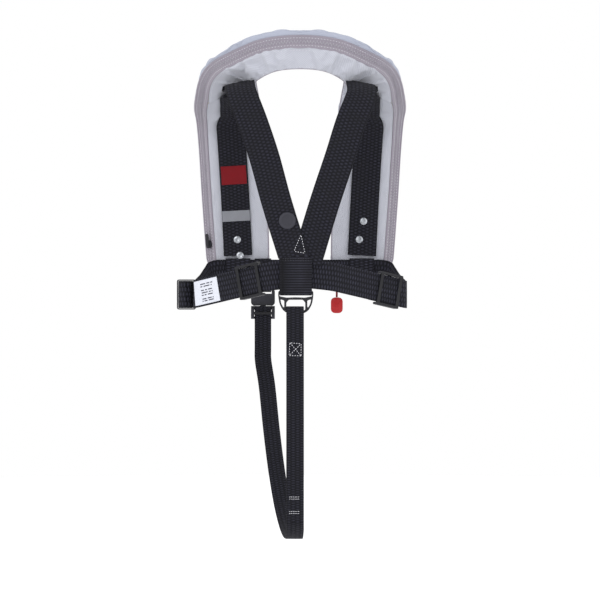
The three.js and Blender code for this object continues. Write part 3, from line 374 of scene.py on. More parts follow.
def swept(name, rows, finish, open_profile=False, looped=False, smooth_angle=40):
    """Extrudes a row of points through every other row. The UV map holds metres across and along.

    Returns the piece and, for each of its vertices, the row and column it stands in.
    """
    bm = bmesh.new()
    count = len(rows[0])
    ring = [bm.verts.new(p * MM) for p in rows[0]]
    sides = count - 1 if open_profile else count
    edges = [bm.edges.new((ring[i], ring[(i + 1) % count])) for i in range(sides)]
    place = {v: (0, i) for i, v in enumerate(ring)}
    first_edges = list(edges)
    for j, row in enumerate(rows[1:], 1):
        column = {v: i for i, v in enumerate(ring)}
        made = bmesh.ops.extrude_edge_only(bm, edges=edges)["geom"]
        fresh = of_kind(made, bmesh.types.BMVert)
        ring = [None] * count
        for v in fresh:
            below = next(e.other_vert(v) for e in v.link_edges if e.other_vert(v) in column)
            ring[column[below]] = v
        for i, v in enumerate(ring):
            v.co = row[i] * MM
            place[v] = (j, i)
        tops = set(ring)
        edges = [e for e in of_kind(made, bmesh.types.BMEdge) if set(e.verts) <= tops]
    if not open_profile and not looped:
        bmesh.ops.contextual_create(bm, geom=first_edges)
        bmesh.ops.contextual_create(bm, geom=edges)
    middle = rows[len(rows) // 2]
    outline = middle if open_profile else [*middle, middle[0]]
    reach = distances([p * MM for p in outline])
    run = distances([sum(row, Vector()) / count * MM for row in rows])
    uv = bm.loops.layers.uv.new("weave")
    for face in bm.faces:
        spots = [place[loop.vert] for loop in face.loops]
        wraps = not open_profile and {0, count - 1} <= {i for _, i in spots} and len(spots) == 4
        for loop, (j, i) in zip(face.loops, spots):
            loop[uv].uv = (reach[count if wraps and i == 0 else i], run[j])
    bm.verts.index_update()
    order = sorted(place, key=lambda v: v.index)
    spots = [place[v] for v in order]
    if looped:
        bmesh.ops.remove_doubles(bm, verts=bm.verts, dist=MERGE)
    bmesh.ops.recalc_face_normals(bm, faces=bm.faces)
    return object_of(bm, name, finish, smooth_angle), spots


def round_edges(bm, radius, angle=30, segments=3):
    """Rounds every edge sharper than the angle."""
    limit = math.radians(angle)
    sharp = [e for e in bm.edges if len(e.link_faces) == 2 and e.calc_face_angle(0) > limit]
    bmesh.ops.bevel(bm, geom=sharp, offset=radius, offset_type="OFFSET", segments=segments,
                    profile=0.5, affect="EDGES", material=-1, clamp_overlap=True)


def softened(node, finish, radius=0.5, segments=3, name=None, angle=30):
    """The moulded piece of a CAD node, with its flats merged and its edges rounded."""
    bm = bmesh.new()
    bm.from_mesh(frame["nodes"][node].data)
    bmesh.ops.remove_doubles(bm, verts=bm.verts, dist=MERGE)
    bmesh.ops.dissolve_limit(bm, angle_limit=math.radians(2), verts=bm.verts, edges=bm.edges)
    round_edges(bm, radius * MM, angle, segments)
    piece = object_of(bm, name or node + "_moulding", finish)
    return stand_for(piece, [node])


def lathe(bm, profile, foot, axis, steps=48):
    """Spins a profile of (radius, height) about an axis through foot."""
    side = axis.orthogonal().normalized()
    points = [bm.verts.new((foot + side * r + axis * h) * MM) for r, h in profile]
    edges = [bm.edges.new(pair) for pair in zip(points, points[1:])]
    bmesh.ops.spin(bm, geom=points + edges, cent=foot * MM, axis=axis, dvec=(0, 0, 0),
                   angle=2 * math.pi, steps=steps, use_merge=True)
    bmesh.ops.remove_doubles(bm, verts=bm.verts, dist=MERGE)
    bmesh.ops.recalc_face_normals(bm, faces=bm.faces)


def turned(name, profile, foot, axis, finish, steps=48, smooth_angle=35):
    bm = bmesh.new()
    lathe(bm, profile, foot, axis, steps)
    return object_of(bm, name, finish, smooth_angle)


def stitch_mesh(name, seams, finish, length=2.8, space=1.1, radius=0.32):
    """Stitches along seams. A seam is a list of (point, outward direction)."""
    bm = bmesh.new()
    for seam in seams:
        points = [p for p, _ in seam]
        run = distances(points)
        pitch = length + space
        count = max(1, int((run[-1] + space) / pitch))
        start = (run[-1] - count * pitch + space) / 2
        for k in range(count):
            middle = start + k * pitch + length / 2
            j = next((i for i in range(1, len(run)) if run[i] >= middle), len(run) - 1)
            share = (middle - run[j - 1]) / max(run[j] - run[j - 1], 1e-6)
            at = points[j - 1].lerp(points[j], share)
            along = (points[j] - points[j - 1]).normalized()
            out = seam[j][1]
            across = along.cross(out).normalized()
            matrix = placed(at, along * length / 2, across * radius, across.cross(along) * radius)
            bmesh.ops.create_icosphere(bm, subdivisions=1, radius=1, matrix=matrix)
    return object_of(bm, name, finish, 80)


# ---- Pull cord and its handle ----
CORD_RADIUS = 1.5
CORD_TOP = Vector((56, 136, -227.8))     # under the inflator's lever
CORD_FALL = 79.9                         # from there to the handle
CORD_STEPS = 20


def pull_cord():
    """A straight hanging cord from the lever's end to the handle."""
    route = [CORD_TOP - UP * CORD_FALL * i / CORD_STEPS for i in range(CORD_STEPS + 1)]
    outline = [Vector((a, b, 0)) for a, b in circle(CORD_RADIUS, 16)]
    cord, _ = swept("pull_cord_braid", [[p + c for c in outline] for p in route], CORD_BRAID)
    stand_for(cord, ["pull_cord"])


softened("pull_toggle", RED_PLASTIC, 0.7)
pull_cord()


# ---- Curves through points ----
def spline(points, chordal):
    """A smooth curve through points. It takes 0 to 1, each stretch between points an equal share."""
    count = len(points)

    def at(t):
        p = min(max(t, 0.0), 1.0) * (count - 1)
        k = min(int(p), count - 2)
        w = p - k
        p1, p2 = points[k], points[k + 1]
        p0 = points[k - 1] if k > 0 else points[0] * 2 - points[1]
        p3 = points[k + 2] if k + 2 < count else points[-1] * 2 - points[-2]
        if chordal:
            d1 = max((p2 - p1).length ** 0.5, 1e-4)
            d0 = max((p1 - p0).length ** 0.5, 1e-4)
            d2 = max((p3 - p2).length ** 0.5, 1e-4)
            m1 = ((p1 - p0) / d0 - (p2 - p0) / (d0 + d1) + (p2 - p1) / d1) * d1
            m2 = ((p2 - p1) / d1 - (p3 - p1) / (d1 + d2) + (p3 - p2) / d2) * d1
        else:
            m1, m2 = (p2 - p0) / 2, (p3 - p1) / 2
        c2 = p1 * -3 + p2 * 3 - m1 * 2 - m2
        c3 = p1 * 2 - p2 * 2 + m1 + m2
        return p1 + m1 * w + c2 * w ** 2 + c3 * w ** 3

    return at


def tangent(curve, t):
    low, high = max(0.0, t - 1e-4), min(1.0, t + 1e-4)
    return (curve(high) - curve(low)).normalized()


def even_marks(curve, low, high, spacing):
    """Values from low to high whose points on the curve lie about spacing apart."""
    fine = [low + (high - low) * i / 600 for i in range(601)]
    run = distances([curve(t) for t in fine])
    steps = max(2, round(run[-1] / spacing))
    marks, k = [], 0
    for i in range(steps + 1):
        want = run[-1] * i / steps
        while k < 599 and run[k + 1] < want:
            k += 1
        share = (want - run[k]) / max(run[k + 1] - run[k], 1e-9)
        marks.append(fine[k] + (fine[k + 1] - fine[k]) * share)
    return marks


class Station:
    """A point on a run of cloth or webbing, with its directions across and away."""

    def __init__(self, point, wide, out, half=0.0, thick=0.0, mark=0.0):
        self.point, self.wide, self.out = point, wide, out
        self.half, self.thick, self.mark = half, thick, mark

    def at(self, across, away):
        return self.point + self.wide * across + self.out * away


# ---- The horseshoe: two chest lobes joined by the collar ----
LEFT_KEYS = [
    ((-93.5, 115, -262), (-1, 0, 0), 86, 44),
    ((-93.5, 115, -248), (-1, 0, 0), 93, 56),
    ((-97.5, 118, -170), (-1, 0, 0), 97, 58),
    ((-101.5, 116, -100), (-1, 0, 0), 98, 58),
    ((-105, 92, -45), (-0.97, 0, -0.22), 96, 46),
    ((-107, 28, -6), (-0.87, 0, -0.49), 94, 34),
    ((-96, -60, 16), (-0.75, -0.45, 0.48), 68, 27),
    ((-52, -100, 38), (-0.22, -0.45, 0.87), 58, 24),
    ((0, -107, 44), (0, -0.42, 0.91), 56, 24),
]
RIGHT_KEYS = [((-at[0], at[1], at[2]), (-wide[0], wide[1], wide[2]), width, thick)
              for at, wide, width, thick in reversed(LEFT_KEYS[:-1])]
KEYS = LEFT_KEYS + RIGHT_KEYS    # place, direction across, width, thickness
LAST = len(KEYS) - 1
SHOULDER = 5
ZIP_WIDE = 13
ZIP_DEEP = 12
LINING = 2.4
LAYER_GAP = 0.6
spine = spline([Vector(k[0]) for k in KEYS], True)
wide_curve = spline([Vector(k[1]) for k in KEYS], False)
size_curve = spline([Vector((k[2], k[3], 0)) for k in KEYS], False)


def horseshoe(u):
    t = u / LAST
    along = tangent(spine, t)
    wide = wide_curve(t)
    wide = (wide - along * wide.dot(along)).normalized()
    size = size_curve(t)
    return Station(spine(t), wide, wide.cross(along).normalized(), size.x / 2, size.y, u)


def horseshoe_run(low, high, spacing):
    return [horseshoe(u) for u in even_marks(lambda u: spine(u / LAST), low, high, spacing)]


def resampled(points, count):
    """The same open outline with evenly spaced points."""
    run = distances(points)
    made = []
    for i in range(count):
        want = run[-1] * i / (count - 1)
        j = next(k for k in range(1, len(run)) if run[k] >= want - 1e-9)
        share = (want - run[j - 1]) / max(run[j] - run[j - 1], 1e-9)
        made.append(points[j - 1].lerp(points[j], share))
    return made


ZIP_DROP = 11.0                  # on the collar the zip runs this much below the rim
DROP_START = 4.9                 # keys from either end at which the zip leaves the rim
DROP_RUN = 1.8


def dropped(s):
    """How far the zip has left the rim, from 0 on the lobes to 1 on the collar."""
    share = min(1.0, max(0.0, (min(s.mark, LAST - s.mark) - DROP_START) / DROP_RUN))
    return share * share * (3 - 2 * share)


def zip_edge(s):
    """Across place and depth of the zip's upper edge, which leaves the rim round the collar."""
    return s.half - ZIP_DROP * dropped(s), ZIP_DEEP - 0.25 * ZIP_DROP * dropped(s)


def cover_outline(s, count, inset=0.0):
    """The cover's cross-section from its inner seam round to the zip's upper edge."""
    h, t = s.half - 0.4 * inset, s.thick - inset
    under_zip = (s.half - 0.5 * dropped(s), ZIP_DEEP - 1.5 * dropped(s))
    corners = [(-s.half, 0.0), (-h, 0.3 * t), (-h, 0.55 * t), (-0.93 * h, 0.74 * t), (-0.78 * h, 0.9 * t),
               (-0.5 * h, t), (0, 1.01 * t), (0.5 * h, t), (0.78 * h, 0.9 * t), (0.93 * h, 0.74 * t),
               (h, 0.55 * t), under_zip, zip_edge(s)]
    return resampled([Vector((a, b, 0)) for a, b in corners], count)


cloths = []


def as_cloth(piece, spots, pinned, growth, pressure, bending, cap, inside=None):
    """Marks a swept sheet as cloth that is sewn down where pinned(row, column) is true."""
    group = piece.vertex_groups.new(name="sewn")
    group.add([i for i, (j, k) in enumerate(spots) if pinned(j, k)], 1.0, "REPLACE")
    modifier = piece.modifiers.new("cloth", "CLOTH")
    rules = modifier.settings
    rules.quality = 5
    rules.mass = 0.15
    rules.tension_stiffness = rules.compression_stiffness = 18
    rules.shear_stiffness = 6
    rules.bending_stiffness = bending
    rules.tension_damping = rules.compression_damping = 8
    rules.air_damping = 2
    rules.vertex_group_mass = "sewn"
    rules.use_pressure = True
    rules.uniform_pressure_force = pressure
    rules.shrink_min = -growth
    rules.effector_weights.gravity = 0
    cloths.append((piece, spots, cap, inside))


def kept_outside(shifts, inward):
    """Turns a sheet's billows away from what lies inside it and flattens what still goes in."""
    turned_in = sum(shift.dot(way) for shift, way in zip(shifts, inward)) > 0
    made = []
    for shift, way in zip(shifts, inward):
        depth = shift.dot(way)
        if turned_in:
            shift, depth = shift - way * 2 * depth, -depth
        made.append(shift - way * max(0.0, depth - 0.2 * MM))
    return made


def settle_cloths(frames=20):
    """Runs every cloth at once, keeps each result and removes the simulation."""
    scene = bpy.context.scene
    for number in range(1, frames + 1):
        scene.frame_set(number)
    graph = bpy.context.evaluated_depsgraph_get()
    for piece, spots, cap, inside in cloths:
        starts = [v.co.copy() for v in piece.data.vertices]
        result = [v.co.copy() for v in piece.evaluated_get(graph).data.vertices]
        shifts = [moved - start for start, moved in zip(starts, result)]
        if inside:
            shifts = kept_outside(shifts, [inside(j) for j, _ in spots])
        piece.modifiers.clear()
        for v, start, shift, spot in zip(piece.data.vertices, starts, shifts, spots):
            limit = cap(*spot) * MM
            v.co = start + shift * min(1.0, limit / max(shift.length, 1e-9))
        piece.data.update()
    scene.frame_set(1)


COVER_COLUMNS = 46
COVER_INSET = 5.0
RIM_COLUMNS = 6
END_SHARES = (0.04, 0.3, 0.55, 0.78, 0.93)     # rows that close the foot of each lobe


def cover_shell():
    run = horseshoe_run(0, LAST, 5.2)
    closing = len(END_SHARES)

    def row(s, share=1.0):
        return [s.at(p.x * share, p.y * share) for p in cover_outline(s, COVER_COLUMNS, COVER_INSET)]

    rows = [row(run[0], share) for share in END_SHARES]
    rows += [row(s) for s in run]
    rows += [row(run[-1], share) for share in reversed(END_SHARES)]
    piece, spots = swept("cover_shell", rows, COVER_CLOTH, open_profile=True, smooth_angle=180)
    last = len(rows) - 1
    seams = {closing, last - closing}
    for u in (SHOULDER, LAST - SHOULDER):
        seams.add(min(range(len(run)), key=lambda i: abs(run[i].mark - u)) + closing)

    def pinned(j, k):
        on_rim = k >= COVER_COLUMNS - RIM_COLUMNS and closing <= j <= last - closing
        if on_rim and dropped(run[j - closing]) > 0.5:
            return True
        return k in (0, COVER_COLUMNS - 1) or j in seams or j in (0, last)

    as_cloth(piece, spots, pinned, 0.05, 5.0, 0.6, lambda j, k: 7.0)
    return piece


def lining_sheet(name, low, high, columns, wave, cap):
    run = horseshoe_run(low, high, 4.2)
    rows = []
    for s in run:
        left, right = -s.half + 1, zip_edge(s)[0] - ZIP_WIDE - 0.2
        level = -LAYER_GAP - LINING / 2
        rows.append([s.at(left + (right - left) * i / (columns - 1), level) for i in range(columns)])
    piece, spots = swept(name, rows, LINING_CLOTH, open_profile=True, smooth_angle=180)
    last = len(rows) - 1

    def pinned(j, k):
        return k in (0, columns - 1) or j in (0, last)

    as_cloth(piece, spots, pinned, wave, 0.6, 0.25, lambda j, k: cap(run[j].mark), lambda j: run[j].out)
    return piece


def strap_room(u):
    """The collar lining may billow less where the shoulder straps lie on it."""
    return 1.6 if min(abs(u - SHOULDER), abs(LAST - SHOULDER - u)) < 0.5 else 6.0


def backing_room(u):
    return 1.2


LINING_COLUMNS = 20
FOOT, SEAM = 0.06, 0.006         # keys left free at the foot and at the shoulder seam
COLLAR_WAVE, BACKING_WAVE = 0.2, 0.02
cover = cover_shell()
collar = lining_sheet("collar_lining_twill", SHOULDER, LAST - SHOULDER, LINING_COLUMNS, COLLAR_WAVE,
                      strap_room)
backing_left = lining_sheet("lobe_backing_left_twill", FOOT, SHOULDER - SEAM, LINING_COLUMNS, BACKING_WAVE,
                            backing_room)
backing_right = lining_sheet("lobe_backing_right_twill", LAST - SHOULDER + SEAM, LAST - FOOT, LINING_COLUMNS,
                             BACKING_WAVE, backing_room)
settle_cloths()


def thicken(piece, thickness, offset, levels=1):
    wall = piece.modifiers.new("wall", "SOLIDIFY")
    wall.thickness = thickness * MM
    wall.offset = offset
    smooth = piece.modifiers.new("smooth", "SUBSURF")
    smooth.levels = smooth.render_levels = levels


CLOTH = 1.2
thicken(cover, CLOTH, -1)
for sheet in (collar, backing_left, backing_right):
    thicken(sheet, CLOTH, 0)
stand_for(cover, ["cover"])
stand_for(collar, ["collar_lining"])
stand_for(backing_left, ["lobe_backing_left"])
stand_for(backing_right, ["lobe_backing_right"])


# ---- Folded air chamber ----
def air_chamber():
    rows = []
    for s in horseshoe_run(0.3, LAST - 0.3, 9):
        left, right = -s.half + 8.0, zip_edge(s)[0] - ZIP_WIDE - 6.0
        base, top = 2.0, min(12.4, s.thick * 0.36)
        upper = []
        for i in range(13):
            ridge = top - (1.1 if i % 2 else 0.0)
            upper.append(s.at(right + 1.0 - (right - left - 1.0) * i / 12, ridge))
        rows.append([s.at(left, base), s.at((left + right) / 2, base), s.at(right, base),
                     s.at(right + 1.4, top * 0.5), *upper, s.at(left, top * 0.5)])
    piece, _ = swept("folded_air_chamber", rows, CHAMBER, smooth_angle=50)
    stand_for(piece, ["bladder"])


air_chamber()


# ---- Webbing ----
def tape_outline(width, thick, crown=0.12):
    """Cross-section of woven tape: flat faces, a slight crown and rounded selvedges."""
    w, t = width / 2, thick / 2
    top = [(w * x, t + crown * (1 - x * x)) for x in (-0.96, -0.7, -0.35, 0, 0.35, 0.7, 0.96)]
    edge = [(w - 0.12 * thick, 0.62 * t), (w, 0), (w - 0.12 * thick, -0.62 * t)]
    half = top + edge
    return half + [(-x, -y) for x, y in half]


def tape(name, stations, width, finish, thick=WEB, looped=False, crown=0.12):
    rows = [[s.at(a, b) for a, b in tape_outline(width, thick, crown)] for s in stations]
    piece, _ = swept(name, rows, finish, looped=looped, smooth_angle=60)
    return piece


def webbing(node, stations, width, finish, thick=WEB, crown=0.12):
    """The woven tape of a CAD node."""
    return stand_for(tape(node + "_tape", stations, width, finish, thick, crown=crown), [node])


def crossed(points, across, spacing=5.0, smooth=True):
    """Stations of a tape that runs through points, all with the same direction across."""
    if smooth:
        curve = spline(points, True)
        points = [curve(t) for t in even_marks(curve, 0, 1, spacing)]
    made = []
    for i, point in enumerate(points):
        along = (points[min(i + 1, len(points) - 1)] - points[max(i - 1, 0)]).normalized()
        out = along.cross(across).normalized()
        made.append(Station(point, out.cross(along).normalized(), out))
    return made


# Waist belt: corners of the right half from the middle of the back to the middle of the front.
WAIST_BACK = 116
WAIST_FRONT = 108
BELT_FRONT_Z = -271
BELT_CORNERS = [
    ((0, -116, -274), 0), ((46, -116, -279), 8), ((154, -52, -304), 10), ((156, 18, -304), 14),
    ((146, 78, -291), 18), ((132, 108, -271), 13), ((0, 108, -271), 0),
]


def half_belt():
    """The belt's right half as closely spaced points."""
    points = []
    for i, (at, trim) in enumerate(BELT_CORNERS):
        at = Vector(at)
        if trim == 0:
            points.append(at)
            continue
        entry = at + (Vector(BELT_CORNERS[i - 1][0]) - at).normalized() * trim
        leave = at + (Vector(BELT_CORNERS[i + 1][0]) - at).normalized() * trim
        for k in range(9):
            t = k / 8
            points.append(entry * (1 - t) ** 2 + at * 2 * t * (1 - t) + leave * t ** 2)
    return points


belt_points = half_belt()
belt_run_mm = distances(belt_points)
BELT_HALF = belt_run_mm[-1]
STRETCH = (Vector(BELT_CORNERS[2][0]) - Vector(BELT_CORNERS[1][0])).length
LAYER = (WEB + GAP) / 2


def stretch_mark(distance):
    """Length along the half belt at a distance past its back corner."""
    corner = Vector(BELT_CORNERS[1][0])
    entry = corner + (Vector(BELT_CORNERS[0][0]) - corner).normalized() * BELT_CORNERS[1][1]
    loss = 2 * BELT_CORNERS[1][1] - (belt_run_mm[9] - belt_run_mm[1])
    return (corner - Vector(BELT_CORNERS[0][0])).length - loss + distance


def belt_station(s, layer=0.0):
    """Positive lengths run over the wearer's right side, negative ones over the left."""
    rest = min(abs(s), BELT_HALF - 1e-6)
    j = next(k for k in range(1, len(belt_run_mm)) if belt_run_mm[k] > rest)
    share = (rest - belt_run_mm[j - 1]) / (belt_run_mm[j] - belt_run_mm[j - 1])
    point = belt_points[j - 1].lerp(belt_points[j], share)

    def direction(k):
        low, high = max(k - 1, 0), min(k + 1, len(belt_points) - 1)
        return (belt_points[high] - belt_points[low]).normalized()

    straight = belt_run_mm[j] - belt_run_mm[j - 1] > 20
    along = (belt_points[j] - belt_points[j - 1]).normalized() if straight \
        else direction(j - 1).lerp(direction(j), share).normalized()
    if s < 0:
        point = Vector((-point.x, point.y, point.z))
        along = Vector((along.x, -along.y, -along.z))
    out = along.cross(UP).normalized()
    return Station(point + out * layer, out.cross(along).normalized(), out, mark=s)


def belt_run(low, high, layer=0.0, spacing=4.0):
    steps = max(2, round((high - low) / spacing))
    made = []
    for i in range(steps + 1):
        s = low + (high - low) * i / steps
        made.append(belt_station(s, layer(abs(s)) if callable(layer) else layer))
    return made


def upright(stations):
    made = []
    for s in stations:
        sign = 1 if s.wide.z >= 0 else -1
        made.append(Station(s.point, s.wide * sign, s.out * sign))
    return made


def side_layer(s):
    """Under its adjuster the side belt is the inner layer; past the side corner it lies alone."""
    share = min(1.0, max(0.0, (s - stretch_mark(STRETCH) + 6) / 12))
    return -LAYER * (1 - share)


TAIL_END = 82


def belt_tapes():
    back = belt_run(-stretch_mark(TAIL_END), stretch_mark(114), LAYER)
    webbing("back_belt", back, BELT_WIDTH, BELT_WEB)
    buckle = Vector((-32, WAIST_FRONT + 3.0, BELT_FRONT_Z))
    fold = [(-24, -3.0)]
    fold += [(2.9 + math.cos(a) * 3, math.sin(a) * 3) for a in [math.radians(d) for d in range(-90, 91, 22)]]
    fold += [(-1, 3.0), (-4, 1.6), (-9, -0.9), (-11, -0.9)]
    turn = crossed([buckle + RIGHT * x + FRONT * y for x, y in fold], -UP, smooth=False)
    side = belt_run(-(BELT_HALF - 32 - 26), -stretch_mark(2), side_layer)[::-1]
    webbing("front_belt_left", upright(side) + upright(turn), BELT_WIDTH, BELT_WEB)
    right = belt_run(stretch_mark(66), BELT_HALF, side_layer)
    webbing("front_belt_right", upright(right), BELT_WIDTH, BELT_WEB)


belt_tapes()


def loop_tape(name, outline, centre, first, second, across, width, finish, thick=WEB, spacing=3.0):
    """A closed band of tape round an outline given in the directions first and second."""
    points = [centre + first * a + second * b for a, b in outline]
    dense = []
    for a, b in zip(points, points[1:] + points[:1]):
        steps = max(1, round((b - a).length / spacing))
        dense += [a.lerp(b, i / steps) for i in range(steps)]
    softer = dense
    for _ in range(2):
        after = softer[1:] + softer[:1]
        softer = [(softer[i - 1] + p * 2 + after[i]) / 4 for i, p in enumerate(softer)]
    stations = []
    for i, point in enumerate(softer):
        along = (softer[(i + 1) % len(softer)] - softer[i - 1]).normalized()
        out = along.cross(across).normalized()
        stations.append(Station(point, across, out))
    stations.append(stations[0])
    return tape(name, stations, width, finish, thick, looped=True, crown=0.05)


TUNNEL_WIDTH = 37.6


def belt_loops():
    for side in (-1, 1):
        word = "left" if side < 0 else "right"
        high = BELT_WIDTH / 2 + 1.75
        front = 115 - LINING - LAYER_GAP - GAP - WAIST_FRONT
        outline = [(-2.15, -high), (front - 0.75, -high), (front - 0.75, high), (-2.15, high)]
        centre = Vector((side * 93.5, WAIST_FRONT, BELT_FRONT_Z))
        loop = loop_tape(f"belt_tunnel_{word}_tape", outline, centre, FRONT, UP, RIGHT, TUNNEL_WIDTH,
                         BELT_WEB, 1.4)
        stand_for(loop, [f"belt_tunnel_{word}"])
    high, low, belt_low = BELT_FRONT_Z + 20.3, -294.5 - 3.9, BELT_FRONT_Z - 20
    grow = WEB / 2
    outline = [(1.2 + grow, high + grow), (-1.2 - grow, high + grow), (-1.2 - grow, belt_low + 4),
               (-2.1 - grow, belt_low - 1), (-2.1 - grow, low - grow), (2.1 + grow, low - grow),
               (2.1 + grow, belt_low - 1), (1.2 + grow, belt_low + 4)]
    anchor = loop_tape("crotch_anchor_tape", outline, Vector((-56, WAIST_FRONT, 0)), FRONT, UP, RIGHT,
                       CROTCH_WIDTH, NARROW_WEB, 1.7, 2.0)
    stand_for(anchor, ["crotch_anchor"])


belt_loops()

# ---- Shoulder straps ----
BACK_Y = -119.2
OVER_Y = BACK_Y - WEB - GAP
STRAP_END_Z = -250.7
STRAP_SLOPE = 0.327              # run of each strap towards the middle for each unit down
STRAP_SEAT = LINING + LAYER_GAP + GAP + WEB / 2 + 2.1


def strap_stations(side, end_y, turns, end_z=STRAP_END_Z):
    def mirrored(v):
        return Vector((side * v.x, v.y, v.z))

    marks = []
    for u in (1.06, 1.7, 2.4, 3, 3.35, 3.7, 4, 4.25, 4.5, SHOULDER - 0.2, SHOULDER + 0.1):
        s = horseshoe(u)
        at = s.at(-6 if u > 4 else 0, -STRAP_SEAT)
        facing = Vector((s.out.x, -s.out.y, -s.out.z))
        marks.append((mirrored(Vector((-at.x, at.y, at.z))), mirrored(facing)))
    x1, x2, x3, x4, x5 = turns
    back = [((90, -28, -1), (0.3, -0.1, 0.95)), ((87, -66, 1), (0.15, -0.45, 0.85)),
            ((x1 + 2, -96, -17), (0.1, -0.9, 0.4)), ((x2, -112, -60), (0, -1, 0.1)),
            ((x3, (BACK_Y + end_y) / 2 + 2, -108), (0, -1, 0)), ((x4, end_y, -174), (0, -1, 0)),
            ((x5 - STRAP_SLOPE * (STRAP_END_Z - end_z), end_y, end_z), (0, -1, 0))]
    marks += [(mirrored(Vector(at)), mirrored(Vector(out))) for at, out in back]
    place, face = spline([m[0] for m in marks], True), spline([m[1] for m in marks], False)
    made = []
    for t in even_marks(place, 0, 1, 4.0):
        along = tangent(place, t)
        out = face(t)
        out = (out - along * out.dot(along)).normalized()
        made.append(Station(place(t), out.cross(along).normalized(), out, mark=t))
    level = math.hypot(1, STRAP_SLOPE)
    last = made[-1]
    last.wide = Vector((math.copysign(level, last.wide.x), 0, 0))
    return made


strap_left = strap_stations(-1, OVER_Y, (81, 67, 51, 33, 9))
strap_right = strap_stations(1, BACK_Y, (86, 72, 57, 35, 12), -262)
webbing("shoulder_strap_left", strap_left, STRAP_WIDTH, STRAP_WEB)
webbing("shoulder_strap_right", strap_right, STRAP_WIDTH, STRAP_WEB)


CHEST_Y = 60                     # the straps run on the chest in front of this


def on_strap(stations, low, high):
    """The stations of a strap's chest part between two heights."""
    return [s for s in stations if s.point.y > CHEST_Y and low <= s.point.z <= high]


def patch(name, stations, width, finish, node, thick=0.8):
    lift = WEB / 2 + 0.25 + thick / 2
    raised = [Station(s.at(0, lift), s.wide, s.out) for s in stations]
    return go_with(tape(name, raised, width, finish, thick, crown=0.02), node)


patch("strap_patch_red", on_strap(strap_left, -140, -109), 38, RED_WEB, "shoulder_strap_left")
patch("strap_band_pale", on_strap(strap_left, -195, -174), 42, PALE_WEB, "shoulder_strap_left")


RIVET = [(0, 0), (5.2, 0), (5.4, 0.5), (4.6, 1.2), (3.2, 1.5), (2.4, 1.2), (0, 1.1)]
RIVET_PLACES = ((strap_left, -219, 0), (strap_left, -246, -3), (strap_right, -192, 0), (strap_right, -221, 5))


def rivets():
    bm = bmesh.new()
    for stations, height, shift in RIVET_PLACES:
        chest = [s for s in stations if s.point.y > CHEST_Y]
        s = min(chest, key=lambda s: abs(s.point.z - height))
        lathe(bm, RIVET, s.at(shift, WEB / 2 + 0.2), s.out, 28)
    go_with(object_of(bm, "strap_rivets", STEEL, 30), "shoulder_strap_left")


rivets()

# ---- Yoke loop, crotch strap ----
YOKE_X = -6
YOKE_IN = -WAIST_BACK - LAYER + WEB / 2 + GAP + WEB / 2
RING_Y = (OVER_Y + YOKE_IN) / 2
RING_BAR_Z = -300.5


def yoke_loop():
    r = (YOKE_IN - OVER_Y) / 2
    z = RING_BAR_Z - 1.2
    points = [(OVER_Y, STRAP_END_Z - GAP), (OVER_Y - 0.4, -268), (OVER_Y - 0.3, -285), (OVER_Y, z)]
    points += [(RING_Y + math.cos(a) * r, z + math.sin(a) * r) for a in
               [math.pi + math.pi * i / 12 for i in range(1, 12)]]
    points += [(YOKE_IN, z), (YOKE_IN, -276), (YOKE_IN, -254)]
    line = [Vector((YOKE_X, y, z)) for y, z in points]
    webbing("yoke_loop", crossed(line, -RIGHT, 2.5), YOKE_WIDTH, YOKE_WEB, 1.5, 0.0)


yoke_loop()

CROTCH_X = -7
CROTCH_BACK_Y = RING_Y - 1
RING_LOW = -331
EYE_LOW = RING_LOW + 4.2
CROTCH_BAR_Z = (RING_LOW + EYE_LOW) / 2
RING_THICK = 3.6
LOOP_ROOM = 4.5
SEW_LOW = -393
OVERLAP_HIGH = -587
OVERLAP_LOW = -627
PLY = (WEB + GAP) / 2


def crotch_straps():
    r = RING_THICK / 2 + LOOP_ROOM + WEB / 2
    inner, outer = CROTCH_BACK_Y + PLY, CROTCH_BACK_Y - PLY
    back = [(inner, SEW_LOW), (inner, CROTCH_BAR_Z - 26), (RING_Y + r * 0.9, CROTCH_BAR_Z - 5)]
    back += [(RING_Y + math.cos(a) * r, CROTCH_BAR_Z + math.sin(a) * r) for a in
             [math.pi * i / 8 for i in range(9)]]
    back += [(RING_Y - r * 0.9, CROTCH_BAR_Z - 5), (outer, CROTCH_BAR_Z - 26), (outer, SEW_LOW),
             (outer + 3, -450), (outer - 1, -530), (outer + 1, OVERLAP_HIGH), (outer + 7, OVERLAP_LOW)]
    line = [Vector((CROTCH_X, y, z)) for y, z in back]
    rear = crossed(line, RIGHT, 3.0)
    webbing("crotch_strap_back", rear, CROTCH_WIDTH, NARROW_WEB)
    low = -656
    front_y = WAIST_FRONT - 3.0
    front = [(CROTCH_X, inner + 1, OVERLAP_HIGH), (CROTCH_X, inner + 7.2, OVERLAP_LOW),
             (CROTCH_X, -101, -641), (CROTCH_X - 1, -84, -652), (CROTCH_X - 2, -55, low),
             (CROTCH_X - 6, -15, low),
             (CROTCH_X - 12, 25, low + 12), (CROTCH_X - 20, 58, low + 42), (CROTCH_X - 28, 78, low + 88),
             (CROTCH_X - 36, 90, low + 150), (CROTCH_X - 43, 98, -440), (-56, front_y, -400),
             (-56, front_y, -385), (-56, front_y, -360), (-56, front_y, -321.5)]
    fore = crossed([Vector(p) for p in front], RIGHT, 5.0)
    webbing("crotch_strap_front", fore, CROTCH_WIDTH, NARROW_WEB)
    return rear


crotch_rear = crotch_straps()


# ---- Rolled surplus, keeper and label at the left side ----
ROLL_BEYOND = 32
ROLL_RADIUS = 10.5


